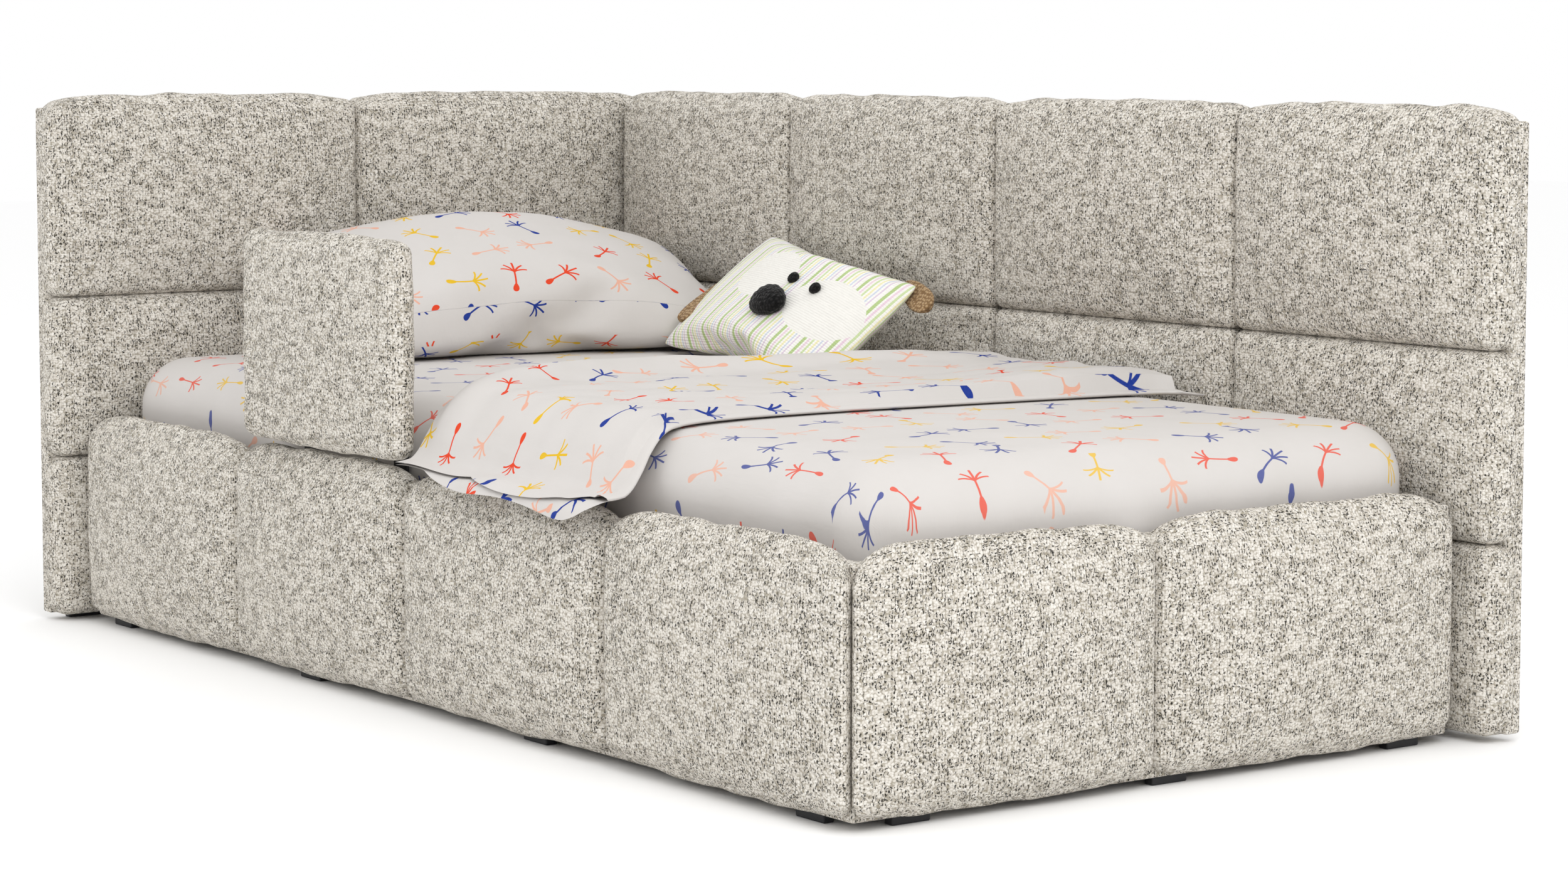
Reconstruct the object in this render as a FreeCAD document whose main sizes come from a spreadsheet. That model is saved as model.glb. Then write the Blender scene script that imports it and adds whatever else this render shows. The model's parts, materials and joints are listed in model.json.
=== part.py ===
import FreeCAD, Part
import math
import os
import re
import Sketcher

# Upholstered corner bed for a young child, millimetres.
# +X runs from the headboard to the foot rail, +Y from the open front to the back panel, +Z up.
# The origin is on the floor under the middle of the bed's outline.

SIZES = {
    # whole bed
    "overall_length": 1860, "overall_depth": 978, "panel_height": 728,
    "panel_thick": 75, "rail_thick": 65, "rail_top": 292,
    "front_reach": 18, "foot_reach": 15,
    # upholstered blocks
    "pad_bottom": 8, "pad_round": 14, "seam": 0.6,
    "row_low": 229, "row_high": 450,
    "front_seam_a": 436, "front_seam_b": 862, "front_seam_c": 1296, "foot_seam": 435,
    "back_seam_a": 425, "back_seam_b": 885, "back_seam_c": 1347, "head_seam": 483,
    "wrap": 8, "top_wrap": 22, "slack": 0.2,
    # boards inside the upholstery
    "board_thick": 16, "board_bottom": 14, "foam_panel": 56, "foam_rail": 41,
    "flap_bottom": 209, "cover_thick": 3,
    # base
    "frame_top": 193, "cleat_tall": 40, "cleat_thick": 25,
    "slat_thick": 12, "slat_wide": 60, "slat_first": 45, "slat_pitch": 121, "slat_count": 14,
    "slat_play": 2,
    "webbing_wide": 20, "webbing_thick": 1.5, "webbing_inset": 150,
    "beam_wide": 40, "beam_tall": 60, "beam_middle": -8, "hanger_wall": 3, "hanger_deep": 35,
    "leg_side": 50, "leg_first": 420, "leg_pitch": 430,
    "glide_wide": 14, "glide_long": 50, "glide_round": 2, "glide_inset": 60,
    "angle_side": 40, "angle_wall": 3, "angle_tall": 80, "angle_bottom": 40,
    "bolt_height": 110, "bolt_radius": 4, "bolt_hole": 4.3, "bolt_length": 86,
    "bolt_head_radius": 8, "bolt_head_tall": 5,
    # mattress and its fitted sheet
    "mattress_length": 1700, "mattress_width": 800, "mattress_tall": 161, "mattress_bottom": 207,
    "mattress_round": 40, "sheet_thick": 1, "head_gap": 2.5, "back_gap": 5,
    # removable guard
    "guard_left": -395, "guard_long": 396, "guard_front": -464, "guard_thick": 52,
    "guard_bottom": 302, "guard_tall": 264, "guard_round": 22,
    "guard_board_thick": 12, "guard_board_inset": 20, "guard_board_front": 20,
    "bracket_wide": 30, "bracket_thick": 4, "bracket_inset": 70, "bracket_up": 150,
    "bracket_reach": 36, "bracket_low": 212, "bracket_gap": 6,
    "guard_bolt_radius": 2.5, "guard_bolt_low": 50, "guard_bolt_high": 120,
    "guard_bolt_head": 4.5, "guard_bolt_head_tall": 2.5,
    "socket_wide": 44, "socket_deep": 12, "socket_tall": 50, "socket_bottom": 216,
    "slot_clear": 0.5, "cut_past": 5,
    # loose bedding
    "pillow_long": 645, "pillow_wide": 390, "pillow_tall": 185, "pillow_round": 78,
    "pillow_front": -245, "pillow_gap": 8, "rest_gap": 0.5,
    "cushion_side": 340, "cushion_deep": 225, "cushion_tall": 80, "cushion_round": 38,
    "cushion_left": -400, "cushion_front": 260, "cushion_sink": 15, "cushion_tilt": 42,
    "nose_radius": 29, "nose_depth": 16, "nose_up": 95,
    "ear_long": 80, "ear_wide": 48, "ear_thick": 14, "ear_round": 6, "ear_middle": 140,
    "blanket_thick": 20, "blanket_drop": 8, "blanket_hem": 262, "blanket_left": 8,
    "blanket_right": 465,
}

DOC = FreeCAD.newDocument("CornerBed")
SHEET = DOC.addObject("Spreadsheet::Sheet", "Dims")
SHEET.Label = "driving dimensions"
for row, (name, value) in enumerate(SIZES.items(), start=1):
    SHEET.set("A%d" % row, name)
    SHEET.set("B%d" % row, str(value))
    SHEET.setAlias("B%d" % row, name)
DOC.recompute()

NODES = []

# Places that many pieces share, as formulas on the sheet's cells.
HEAD_FACE = "(panel_thick - overall_length / 2)"
FOOT_FACE = "(overall_length / 2 - foot_reach)"
BACK_FACE = "(overall_depth / 2 - panel_thick)"
FRONT_FACE = "(front_reach - overall_depth / 2)"
RAIL_BOARD_INNER = "(foam_rail + board_thick)"
FRONT_BOARD_INNER = "(%s + %s)" % (FRONT_FACE, RAIL_BOARD_INNER)
FOOT_BOARD_INNER = "(%s - %s)" % (FOOT_FACE, RAIL_BOARD_INNER)
PAD_TALL_RAIL = "rail_top - pad_bottom"
MATTRESS_LEFT = "(%s + head_gap)" % HEAD_FACE
MATTRESS_BACK = "(%s - back_gap)" % BACK_FACE
MATTRESS_FRONT = "(%s - mattress_width)" % MATTRESS_BACK
MATTRESS_TOP = "(mattress_bottom + mattress_tall)"
GUARD_BOARD_FRONT = "(guard_front + guard_board_front)"
GUARD_PLATE_FRONT = "(%s + guard_board_thick)" % GUARD_BOARD_FRONT


def on_sheet(formula):
    """The formula with every size name pointed at its cell in the sheet."""
    def cell(word):
        name = word.group(0)
        return "Dims." + name if name in SIZES else name
    return re.sub(r"[a-z_]+", cell, str(formula))


def bind(thing, prop, formula):
    thing.setExpression(prop, on_sheet(formula))


def place(thing, x, y, z, turn=0):
    """Puts a piece at x, y, z, turned about +Z by a number of degrees."""
    thing.Placement = FreeCAD.Placement(FreeCAD.Vector(), FreeCAD.Rotation(FreeCAD.Vector(0, 0, 1), turn))
    bind(thing, "Placement.Base.x", x)
    bind(thing, "Placement.Base.y", y)
    bind(thing, "Placement.Base.z", z)


def keep(thing, label):
    """Names a finished sub-part, which is written to its own file."""
    thing.Label = label
    NODES.append(thing)
    return thing


def plane_of(body, role):
    return next(item for item in body.Origin.OriginFeatures if item.Role == role)


def attached_sketch(body, role, name):
    sketch = body.newObject("Sketcher::SketchObject", name)
    sketch.AttachmentSupport = [(plane_of(body, role), "")]
    sketch.MapMode = "FlatFace"
    return sketch


# A new outline starts as a regular polygon of this size, before its formulas pull it into shape.
START_SIZE = 50


def outline(body, role, corners, name="Outline"):
    """A closed sketch whose corners sit at pairs of formulas on the sheet's cells."""
    sketch = attached_sketch(body, role, name)
    count = len(corners)
    ring = [2 * math.pi * i / count for i in range(count)]
    spots = [FreeCAD.Vector(START_SIZE * math.cos(a), START_SIZE * math.sin(a), 0) for a in ring]
    for i in range(count):
        sketch.addGeometry(Part.LineSegment(spots[i], spots[(i + 1) % count]), False)
    for i in range(count):
        sketch.addConstraint(Sketcher.Constraint("Coincident", i, 2, (i + 1) % count, 1))
    for i, (across, up) in enumerate(corners):
        first = sketch.addConstraint(Sketcher.Constraint("DistanceX", -1, 1, i, 1, spots[i].x))
        second = sketch.addConstraint(Sketcher.Constraint("DistanceY", -1, 1, i, 1, spots[i].y))
        bind(sketch, "Constraints[%d]" % first, across)
        bind(sketch, "Constraints[%d]" % second, up)
    return sketch


def rectangle(body, role, low_x, low_y, high_x, high_y, name="Outline"):
    corners = [(low_x, low_y), (high_x, low_y), (high_x, high_y), (low_x, high_y)]
    return outline(body, role, corners, name)


def circles(body, role, spots, radius, name="Holes"):
    """A sketch of equal circles whose centres sit at pairs of formulas."""
    sketch = attached_sketch(body, role, name)
    for i, (across, up) in enumerate(spots):
        start = FreeCAD.Vector(20 + 40 * i, 20, 0)
        sketch.addGeometry(Part.Circle(start, FreeCAD.Vector(0, 0, 1), 2), False)
        for kind, formula, now in (("DistanceX", across, start.x), ("DistanceY", up, start.y)):
            index = sketch.addConstraint(Sketcher.Constraint(kind, -1, 1, i, 3, now))
            bind(sketch, "Constraints[%d]" % index, formula)
        index = sketch.addConstraint(Sketcher.Constraint("Radius", i, 2))
        bind(sketch, "Constraints[%d]" % index, radius)
    return sketch


def pad_up(body, sketch, length):
    pad = body.newObject("PartDesign::Pad", "Pad")
    pad.Profile = sketch
    bind(pad, "Length", length)
    return pad


def pocket(body, sketch, length, upward=False, both_ways=False):
    """Cuts a sketch out of the body, along the sketch's normal, against it, or both ways."""
    cut = body.newObject("PartDesign::Pocket", "Pocket")
    cut.Profile = sketch
    cut.Reversed = upward
    if both_ways:
        cut.SideType = "Symmetric"
    bind(cut, "Length", length)
    return cut


def round_all(body, feature, radius):
    fillet = body.newObject("PartDesign::Fillet", "Rounding")
    fillet.Base = (feature, [""])
    fillet.UseAllEdges = True
    bind(fillet, "Radius", radius)
    return fillet


def new_body(name):
    return DOC.addObject("PartDesign::Body", name)


def plain_box(name, x, y, z, long, deep, tall):
    box = DOC.addObject("Part::Box", name)
    bind(box, "Length", long)
    bind(box, "Width", deep)
    bind(box, "Height", tall)
    place(box, x, y, z)
    return box


def group(label, members):
    """Identical loose pieces as separate solids of one sub-part."""
    compound = DOC.addObject("Part::Compound", label)
    compound.Links = members
    return keep(compound, label)


# ---------------------------------------------------------------- upholstered blocks

def soft_block(label, spot, turn, long, tall, mitre_start=False, mitre_end=False, rebate=None, channel=False,
               bolt=False, free_start=False, free_end=False):
    """A foam block covered in fabric: a rounded slab that wraps round the board behind it.

    Its own X runs along the panel, its own Y from the visible face into the panel.
    rebate is (start, end, height) of the room for a tall panel's board, channel is a rail's.
    A free end has no neighbour, so it gives nothing up to a seam.
    """
    x, y, z = spot
    thick = "rail_thick" if channel else "panel_thick"
    body = new_body(label)
    first = "0" if free_start else "seam"
    last = long if free_end else "%s - seam" % long
    near = thick if mitre_start else first
    far = "%s - %s" % (long, thick) if mitre_end else last
    plan = outline(body, "XY_Plane", [(first, 0), (last, 0), (far, thick), (near, thick)], "Plan")
    slab = pad_up(body, plan, tall)
    round_all(body, slab, "pad_round")
    reach = "2 * (%s) + 2 * panel_thick" % long
    if channel:
        # The board stands in a slot; the fabric flap behind it ends above the slats.
        front, back = "foam_rail", RAIL_BOARD_INNER
        low, flap, top = "-panel_thick", "flap_bottom - pad_bottom", "%s - top_wrap" % tall
        section = outline(body, "YZ_Plane", [
            (front, low), ("2 * rail_thick", low), ("2 * rail_thick", flap),
            (back, flap), (back, top), (front, top)], "Slot")
        pocket(body, section, reach, both_ways=True)
    if rebate:
        start, end, height = rebate
        room = rectangle(body, "XY_Plane", start, "foam_panel", end, "2 * panel_thick", "Rebate")
        pocket(body, room, height, upward=True)
    if bolt:
        hole = circles(body, "XZ_Plane", [("(%s) / 2" % long, "bolt_height - pad_bottom")], "bolt_hole")
        pocket(body, hole, "4 * panel_thick", both_ways=True)
    place(body, x, y, z, turn)
    return keep(body, label)


ROWS = [
    ("bottom", "pad_bottom", "row_low - pad_bottom - seam"),
    ("middle", "row_low", "row_high - row_low - seam"),
    ("top", "row_high", "panel_height - row_high"),
]


def tall_panel(name, seams, along, turn, at, wrap_start, wrap_end):
    """The blocks of a tall panel, column by column and row by row."""
    for column in range(len(seams) - 1):
        start, stop = seams[column], seams[column + 1]
        long = "(%s - (%s))" % (stop, start)
        free_start = wrap_start and column == 0
        free_end = wrap_end and column == len(seams) - 2
        room_start = "wrap" if free_start else "-panel_thick"
        room_end = "%s - wrap" % long if free_end else "%s + panel_thick" % long
        for row, low, tall in ROWS:
            room_top = "%s - top_wrap" % tall if row == "top" else "%s + panel_thick" % tall
            spot = (at, "%s + %s" % (along, start), low) if turn else ("%s + %s" % (along, start), at, low)
            soft_block("%s_pad_%d_%s" % (name, column + 1, row), spot, turn, long, tall,
                       rebate=(room_start, room_end, room_top), bolt=(row == "bottom"),
                       free_start=free_start, free_end=free_end)


BACK_SEAMS = ["0", "back_seam_a", "back_seam_b", "back_seam_c", "(overall_length - panel_thick)"]
HEAD_SEAMS = ["0", "head_seam", "overall_depth"]
FRONT_SEAMS = ["0", "front_seam_a", "front_seam_b", "front_seam_c",
               "(overall_length - panel_thick - foot_reach)"]
FOOT_SEAMS = ["0", "foot_seam", "(overall_depth - panel_thick - front_reach)"]

tall_panel("back", BACK_SEAMS, HEAD_FACE, 0, BACK_FACE, False, True)
tall_panel("headboard", HEAD_SEAMS, "(-overall_depth / 2)", 90, HEAD_FACE, True, True)

for index in range(4):
    soft_block("front_rail_pad_%d" % (index + 1),
               ("%s + %s" % (HEAD_FACE, FRONT_SEAMS[index]), FRONT_FACE, "pad_bottom"), 0,
               "(%s - (%s))" % (FRONT_SEAMS[index + 1], FRONT_SEAMS[index]), PAD_TALL_RAIL,
               mitre_end=(index == 3), channel=True)
for index in range(2):
    soft_block("foot_rail_pad_%d" % (index + 1),
               (FOOT_FACE, "%s + %s" % (FRONT_FACE, FOOT_SEAMS[index]), "pad_bottom"), 90,
               "(%s - (%s))" % (FOOT_SEAMS[index + 1], FOOT_SEAMS[index]), PAD_TALL_RAIL,
               mitre_start=(index == 0), channel=True)


# ---------------------------------------------------------------- boards

def board(label, low, high, holes=None, hole_plane=None):
    """A flat board between two opposite corners, with bolt holes through one pair of faces."""
    body = new_body(label)
    base = rectangle(body, "XY_Plane", low[0], low[1], high[0], high[1], "Plan")
    pad_up(body, base, "%s - (%s)" % (high[2], low[2]))
    if holes:
        spots = [(spot, "bolt_height - (%s)" % low[2]) for spot in holes]
        pocket(body, circles(body, hole_plane, spots, "bolt_hole"), "4 * overall_depth", both_ways=True)
    place(body, 0, 0, low[2])
    return keep(body, label)


BACK_BOLTS = ["%s + (%s + (%s)) / 2" % (HEAD_FACE, BACK_SEAMS[i], BACK_SEAMS[i + 1]) for i in range(4)]
HEAD_BOLTS = ["(%s + (%s)) / 2 - overall_depth / 2" % (HEAD_SEAMS[i], HEAD_SEAMS[i + 1]) for i in range(2)]
PANEL_BOARD_TOP = "(panel_height - top_wrap - slack)"
RAIL_BOARD_TOP = "(rail_top - top_wrap - slack)"

board("back_panel_board",
      ("%s + slack" % HEAD_FACE, "%s + foam_panel + slack" % BACK_FACE, "board_bottom"),
      ("overall_length / 2 - wrap - slack", "%s + foam_panel + board_thick" % BACK_FACE, PANEL_BOARD_TOP),
      BACK_BOLTS, "XZ_Plane")
board("headboard_board",
      ("%s - foam_panel - board_thick" % HEAD_FACE, "wrap + slack - overall_depth / 2", "board_bottom"),
      ("%s - foam_panel - slack" % HEAD_FACE, "overall_depth / 2 - wrap - slack", PANEL_BOARD_TOP),
      HEAD_BOLTS, "YZ_Plane")
board("front_rail_board",
      ("%s + seam" % HEAD_FACE, "%s + foam_rail + slack" % FRONT_FACE, "board_bottom"),
      ("%s - slack" % FOOT_BOARD_INNER, "%s - slack" % FRONT_BOARD_INNER, RAIL_BOARD_TOP))
board("foot_rail_board",
      (FOOT_BOARD_INNER + " + slack", "%s + foam_rail + slack" % FRONT_FACE, "board_bottom"),
      ("%s - foam_rail - slack" % FOOT_FACE, "%s - slack" % BACK_FACE, RAIL_BOARD_TOP))
board("back_frame_rail",
      ("%s + slack" % HEAD_FACE, "%s - board_thick" % BACK_FACE, "board_bottom"),
      ("%s - slack" % FOOT_BOARD_INNER, "%s - slack" % BACK_FACE, "frame_top"),
      BACK_BOLTS, "XZ_Plane")
board("head_frame_rail",
      ("%s + slack" % HEAD_FACE, "%s + slack" % FRONT_BOARD_INNER, "board_bottom"),
      ("%s + board_thick" % HEAD_FACE, "%s - board_thick - slack" % BACK_FACE, "frame_top"),
      HEAD_BOLTS, "YZ_Plane")
board("back_panel_rear_cover",
      ("%s + slack" % HEAD_FACE, "overall_depth / 2 - cover_thick", "board_bottom"),
      ("overall_length / 2 - wrap - slack", "overall_depth / 2", PANEL_BOARD_TOP))
board("headboard_rear_cover",
      ("-overall_length / 2", "wrap + slack - overall_depth / 2", "board_bottom"),
      ("cover_thick - overall_length / 2", "overall_depth / 2 - wrap - slack", PANEL_BOARD_TOP))

# ---------------------------------------------------------------- slatted base

CLEAT_LEFT = "(%s + board_thick + slack)" % HEAD_FACE
CLEAT_LONG = "(%s - board_thick - %s - 3 * slack)" % (FOOT_BOARD_INNER, HEAD_FACE)

keep(plain_box("front_cleat", CLEAT_LEFT, FRONT_BOARD_INNER, "frame_top - cleat_tall",
               CLEAT_LONG, "cleat_thick", "cleat_tall"), "front_cleat")
keep(plain_box("back_cleat", CLEAT_LEFT, "%s - board_thick - cleat_thick" % BACK_FACE,
               "frame_top - cleat_tall", CLEAT_LONG, "cleat_thick", "cleat_tall"), "back_cleat")
keep(plain_box("centre_beam", CLEAT_LEFT + " + hanger_wall", "beam_middle - beam_wide / 2",
               "frame_top - beam_tall", CLEAT_LONG + " - 2 * hanger_wall", "beam_wide", "beam_tall"),
     "centre_beam")


def beam_hanger(name, x, wall_side):
    """A steel stirrup that carries one end of the centre beam: back plate, floor and two cheeks."""
    outer = DOC.addObject("Part::Box", name + "_outer")
    bind(outer, "Length", "hanger_deep")
    bind(outer, "Width", "beam_wide + 2 * hanger_wall + 2 * slack")
    bind(outer, "Height", "beam_tall + hanger_wall")
    place(outer, x, "beam_middle - beam_wide / 2 - hanger_wall - slack",
          "frame_top - beam_tall - hanger_wall")
    room = DOC.addObject("Part::Box", name + "_room")
    bind(room, "Length", "hanger_deep")
    bind(room, "Width", "beam_wide + 2 * slack")
    bind(room, "Height", "2 * beam_tall")
    shift = "hanger_wall" if wall_side < 0 else "-hanger_wall"
    place(room, "%s + %s" % (x, shift), "beam_middle - beam_wide / 2 - slack", "frame_top - beam_tall")
    stirrup = DOC.addObject("Part::Cut", name)
    stirrup.Base = outer
    stirrup.Tool = room
    return stirrup


group("beam_hangers", [
    beam_hanger("hanger_head", CLEAT_LEFT, -1),
    beam_hanger("hanger_foot", "%s + %s - hanger_deep" % (CLEAT_LEFT, CLEAT_LONG), 1),
])

group("centre_legs", [
    plain_box("centre_leg_%d" % (i + 1), "%s + leg_first + %d * leg_pitch - leg_side / 2" % (HEAD_FACE, i),
              "beam_middle - leg_side / 2", "board_bottom", "leg_side", "leg_side",
              "frame_top - beam_tall - board_bottom")
    for i in range(3)])

SLAT_FRONT = "(%s + slat_play)" % FRONT_BOARD_INNER
SLAT_LONG = "%s - board_thick - slat_play - %s" % (BACK_FACE, SLAT_FRONT)
group("slats", [
    plain_box("slat_%d" % (i + 1), "%s + slat_first + %d * slat_pitch" % (HEAD_FACE, i), SLAT_FRONT,
              "frame_top", "slat_wide", SLAT_LONG, "slat_thick")
    for i in range(SIZES["slat_count"])])

group("slat_webbing", [
    plain_box("webbing_%d" % (i + 1), "%s + slat_first" % HEAD_FACE,
              "beam_middle - webbing_wide / 2 %s (mattress_width / 2 - webbing_inset)" % sign,
              "frame_top + slat_thick", "(slat_count - 1) * slat_pitch + slat_wide",
              "webbing_wide", "webbing_thick")
    for i, sign in enumerate("-+")])


# ---------------------------------------------------------------- feet and fixings

def glide(name, x, y, along_y=False):
    """A rounded plastic glide under the edge of a board."""
    body = new_body(name)
    half_x, half_y = "glide_long / 2", "glide_wide / 2"
    if along_y:
        half_x, half_y = half_y, half_x
    plan = rectangle(body, "XY_Plane", "-" + half_x, "-" + half_y, half_x, half_y, "Plan")
    block = pad_up(body, plan, "board_bottom")
    round_all(body, block, "glide_round")
    place(body, x, y, 0)
    return body


FRONT_GLIDE_Y = "%s + foam_rail + board_thick / 2" % FRONT_FACE
FOOT_GLIDE_X = "%s - foam_rail - board_thick / 2" % FOOT_FACE
BACK_GLIDE_Y = "%s + foam_panel + board_thick / 2" % BACK_FACE
HEAD_GLIDE_X = "%s - foam_panel - board_thick / 2" % HEAD_FACE

glides = []
for part_way in (0, 1, 2, 3):
    spread = "%s + glide_inset + %d * (%s - %s - 2 * glide_inset) / 3"
    x = spread % (HEAD_FACE, part_way, FOOT_BOARD_INNER, HEAD_FACE)
    glides.append(glide("front_glide_%d" % part_way, x, FRONT_GLIDE_Y))
    glides.append(glide("back_glide_%d" % part_way, x, BACK_GLIDE_Y))
for part_way in (0, 1, 2):
    spread = "%s + glide_inset + %d * (%s - %s - 2 * glide_inset) / 2"
    foot_y = spread % (FRONT_BOARD_INNER, part_way, BACK_FACE, FRONT_BOARD_INNER)
    head_y = spread % ("-overall_depth / 2", part_way, "overall_depth / 2", "-overall_depth / 2")
    glides.append(glide("foot_glide_%d" % part_way, FOOT_GLIDE_X, foot_y, along_y=True))
    glides.append(glide("head_glide_%d" % part_way, HEAD_GLIDE_X, head_y, along_y=True))
for i in range(3):
    x = "%s + leg_first + %d * leg_pitch" % (HEAD_FACE, i)
    glides.append(glide("centre_glide_%d" % i, x, "beam_middle"))
group("glide_feet", glides)


def corner_angle(name, x, y, turn):
    """A steel angle in an inside corner of the frame, its two leaves along its own +X and +Y."""
    body = new_body(name)
    plan = outline(body, "XY_Plane", [
        ("0", "0"), ("angle_side", "0"), ("angle_side", "angle_wall"),
        ("angle_wall", "angle_wall"), ("angle_wall", "angle_side"), ("0", "angle_side")], "Section")
    pad_up(body, plan, "angle_tall")
    place(body, x, y, "angle_bottom", turn)
    return body


LEFT_CORNER = "%s + board_thick + slack" % HEAD_FACE
BACK_CORNER = "%s - board_thick - slack" % BACK_FACE
group("corner_angles", [
    corner_angle("angle_front_head", LEFT_CORNER, FRONT_BOARD_INNER, 0),
    corner_angle("angle_front_foot", FOOT_BOARD_INNER, FRONT_BOARD_INNER, 90),
    corner_angle("angle_back_foot", FOOT_BOARD_INNER, BACK_CORNER, 180),
    corner_angle("angle_back_head", LEFT_CORNER, BACK_CORNER, 270),
])


def panel_bolt(name, x, y, direction, turn_x, turn_y):
    """A connecting bolt with a flat round head; it runs from the frame rail into the tall panel's board."""
    shank = DOC.addObject("Part::Cylinder", name + "_shank")
    bind(shank, "Radius", "bolt_radius")
    bind(shank, "Height", "bolt_length")
    head = DOC.addObject("Part::Cylinder", name + "_head")
    bind(head, "Radius", "bolt_head_radius")
    bind(head, "Height", "bolt_head_tall")
    axis = FreeCAD.Rotation(FreeCAD.Vector(0, 0, 1), direction)
    for cylinder, back in ((shank, "0"), (head, "bolt_head_tall")):
        cylinder.Placement = FreeCAD.Placement(FreeCAD.Vector(), axis)
        bind(cylinder, "Placement.Base.x", "%s - (%s) * %s" % (x, turn_x, back))
        bind(cylinder, "Placement.Base.y", "%s - (%s) * %s" % (y, turn_y, back))
        bind(cylinder, "Placement.Base.z", "bolt_height")
    bolt = DOC.addObject("Part::MultiFuse", name)
    bolt.Shapes = [shank, head]
    return bolt


TO_BACK = FreeCAD.Vector(0, 1, 0)
TO_HEAD = FreeCAD.Vector(-1, 0, 0)
group("panel_bolts", [
    panel_bolt("back_bolt_%d" % (i + 1), spot, "%s - board_thick" % BACK_FACE, TO_BACK, "0", "1")
    for i, spot in enumerate(BACK_BOLTS)
] + [
    panel_bolt("head_bolt_%d" % (i + 1), "%s + board_thick" % HEAD_FACE, spot, TO_HEAD, "-1", "0")
    for i, spot in enumerate(HEAD_BOLTS)
])

# ---------------------------------------------------------------- mattress and fitted sheet


def rounded_slab(name, shrink):
    """The mattress block, smaller all round by shrink."""
    body = new_body(name)
    plan = rectangle(body, "XY_Plane", shrink, shrink, "mattress_length - %s" % shrink,
                     "mattress_width - %s" % shrink, "Plan")
    slab = pad_up(body, plan, "mattress_tall - %s" % shrink)
    DOC.recompute()
    edges = ["Edge%d" % (i + 1) for i, edge in enumerate(slab.Shape.Edges)
             if edge.BoundBox.ZMax > edge.BoundBox.ZMin + 1 or edge.BoundBox.ZMin > 1]
    fillet = body.newObject("PartDesign::Fillet", "Rounding")
    fillet.Base = (slab, edges)
    bind(fillet, "Radius", "mattress_round - %s" % shrink)
    place(body, MATTRESS_LEFT, MATTRESS_FRONT, "mattress_bottom")
    return body


keep(rounded_slab("mattress", "(sheet_thick + 0.05)"), "mattress")
sheet_skin = rounded_slab("sheet_skin", "0")
sheet_core = rounded_slab("sheet_core", "sheet_thick")
fitted = DOC.addObject("Part::Cut", "fitted_sheet")
fitted.Base = sheet_skin
fitted.Tool = sheet_core
keep(fitted, "fitted_sheet")

# ---------------------------------------------------------------- removable guard

BRACKETS = {
    "left": "(guard_left + bracket_inset)",
    "right": "(guard_left + guard_long - bracket_inset - bracket_wide)",
}
BOLT_ROOM = "(bracket_thick + 2 * guard_bolt_head_tall)"


def guard_pad():
    """The guard's foam and cover, slotted from below for its board and the two brackets."""
    body = new_body("guard_pad")
    plan = rectangle(body, "XY_Plane", "0", "0", "guard_long", "guard_thick", "Plan")
    slab = pad_up(body, plan, "guard_tall")
    round_all(body, slab, "guard_round")
    room = rectangle(body, "XY_Plane", "guard_board_inset - slack", "guard_board_front - slack",
                     "guard_long - guard_board_inset + slack",
                     "guard_board_front + guard_board_thick + slack", "BoardSlot")
    pocket(body, room, "guard_tall - guard_board_inset + slack", upward=True)
    for side, left in BRACKETS.items():
        start = "%s - guard_left" % left
        slot = rectangle(body, "XY_Plane", "%s - slack" % start, "guard_board_front + guard_board_thick",
                         "%s + bracket_wide + slack" % start,
                         "guard_board_front + guard_board_thick + %s" % BOLT_ROOM, "BracketSlot")
        pocket(body, slot, "bracket_up + slack", upward=True)
    place(body, "guard_left", "guard_front", "guard_bottom")
    return keep(body, "guard_pad")


def guard_board():
    """The guard's plywood core, drilled for the bracket bolts."""
    body = new_body("guard_board")
    face = rectangle(body, "XY_Plane", "guard_left + guard_board_inset", GUARD_BOARD_FRONT,
                     "guard_left + guard_long - guard_board_inset", GUARD_PLATE_FRONT, "Plan")
    pad_up(body, face, "guard_tall - 2 * guard_board_inset")
    spots = [("%s + bracket_wide / 2" % left, "%s - guard_board_inset" % up)
             for left in BRACKETS.values() for up in ("guard_bolt_low", "guard_bolt_high")]
    holes = circles(body, "XZ_Plane", spots, "guard_bolt_radius + 0.1")
    pocket(body, holes, "4 * overall_depth", both_ways=True)
    place(body, 0, 0, "guard_bottom + guard_board_inset")
    return keep(body, "guard_board")


def guard_bracket(side, left):
    """A cranked steel strip: up the guard's board, over the rail, and down behind it into its socket."""
    body = new_body("guard_bracket_" + side)
    plate = "guard_board_front + guard_board_thick"
    profile = outline(body, "YZ_Plane", [
        (plate, "-bracket_gap"),
        ("%s + bracket_reach - bracket_thick" % plate, "-bracket_gap"),
        ("%s + bracket_reach - bracket_thick" % plate, "bracket_low - guard_bottom"),
        ("%s + bracket_reach" % plate, "bracket_low - guard_bottom"),
        ("%s + bracket_reach" % plate, "bracket_thick - bracket_gap"),
        ("%s + bracket_thick" % plate, "bracket_thick - bracket_gap"),
        ("%s + bracket_thick" % plate, "bracket_up"),
        (plate, "bracket_up")], "Profile")
    pad_up(body, profile, "bracket_wide")
    holes = circles(body, "XZ_Plane", [("bracket_wide / 2", "guard_bolt_low"),
                                       ("bracket_wide / 2", "guard_bolt_high")], "guard_bolt_radius + 0.1")
    pocket(body, holes, "2 * (%s + bracket_thick) + cut_past" % plate, both_ways=True)
    place(body, left, "guard_front", "guard_bottom")
    return keep(body, "guard_bracket_" + side)


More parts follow.
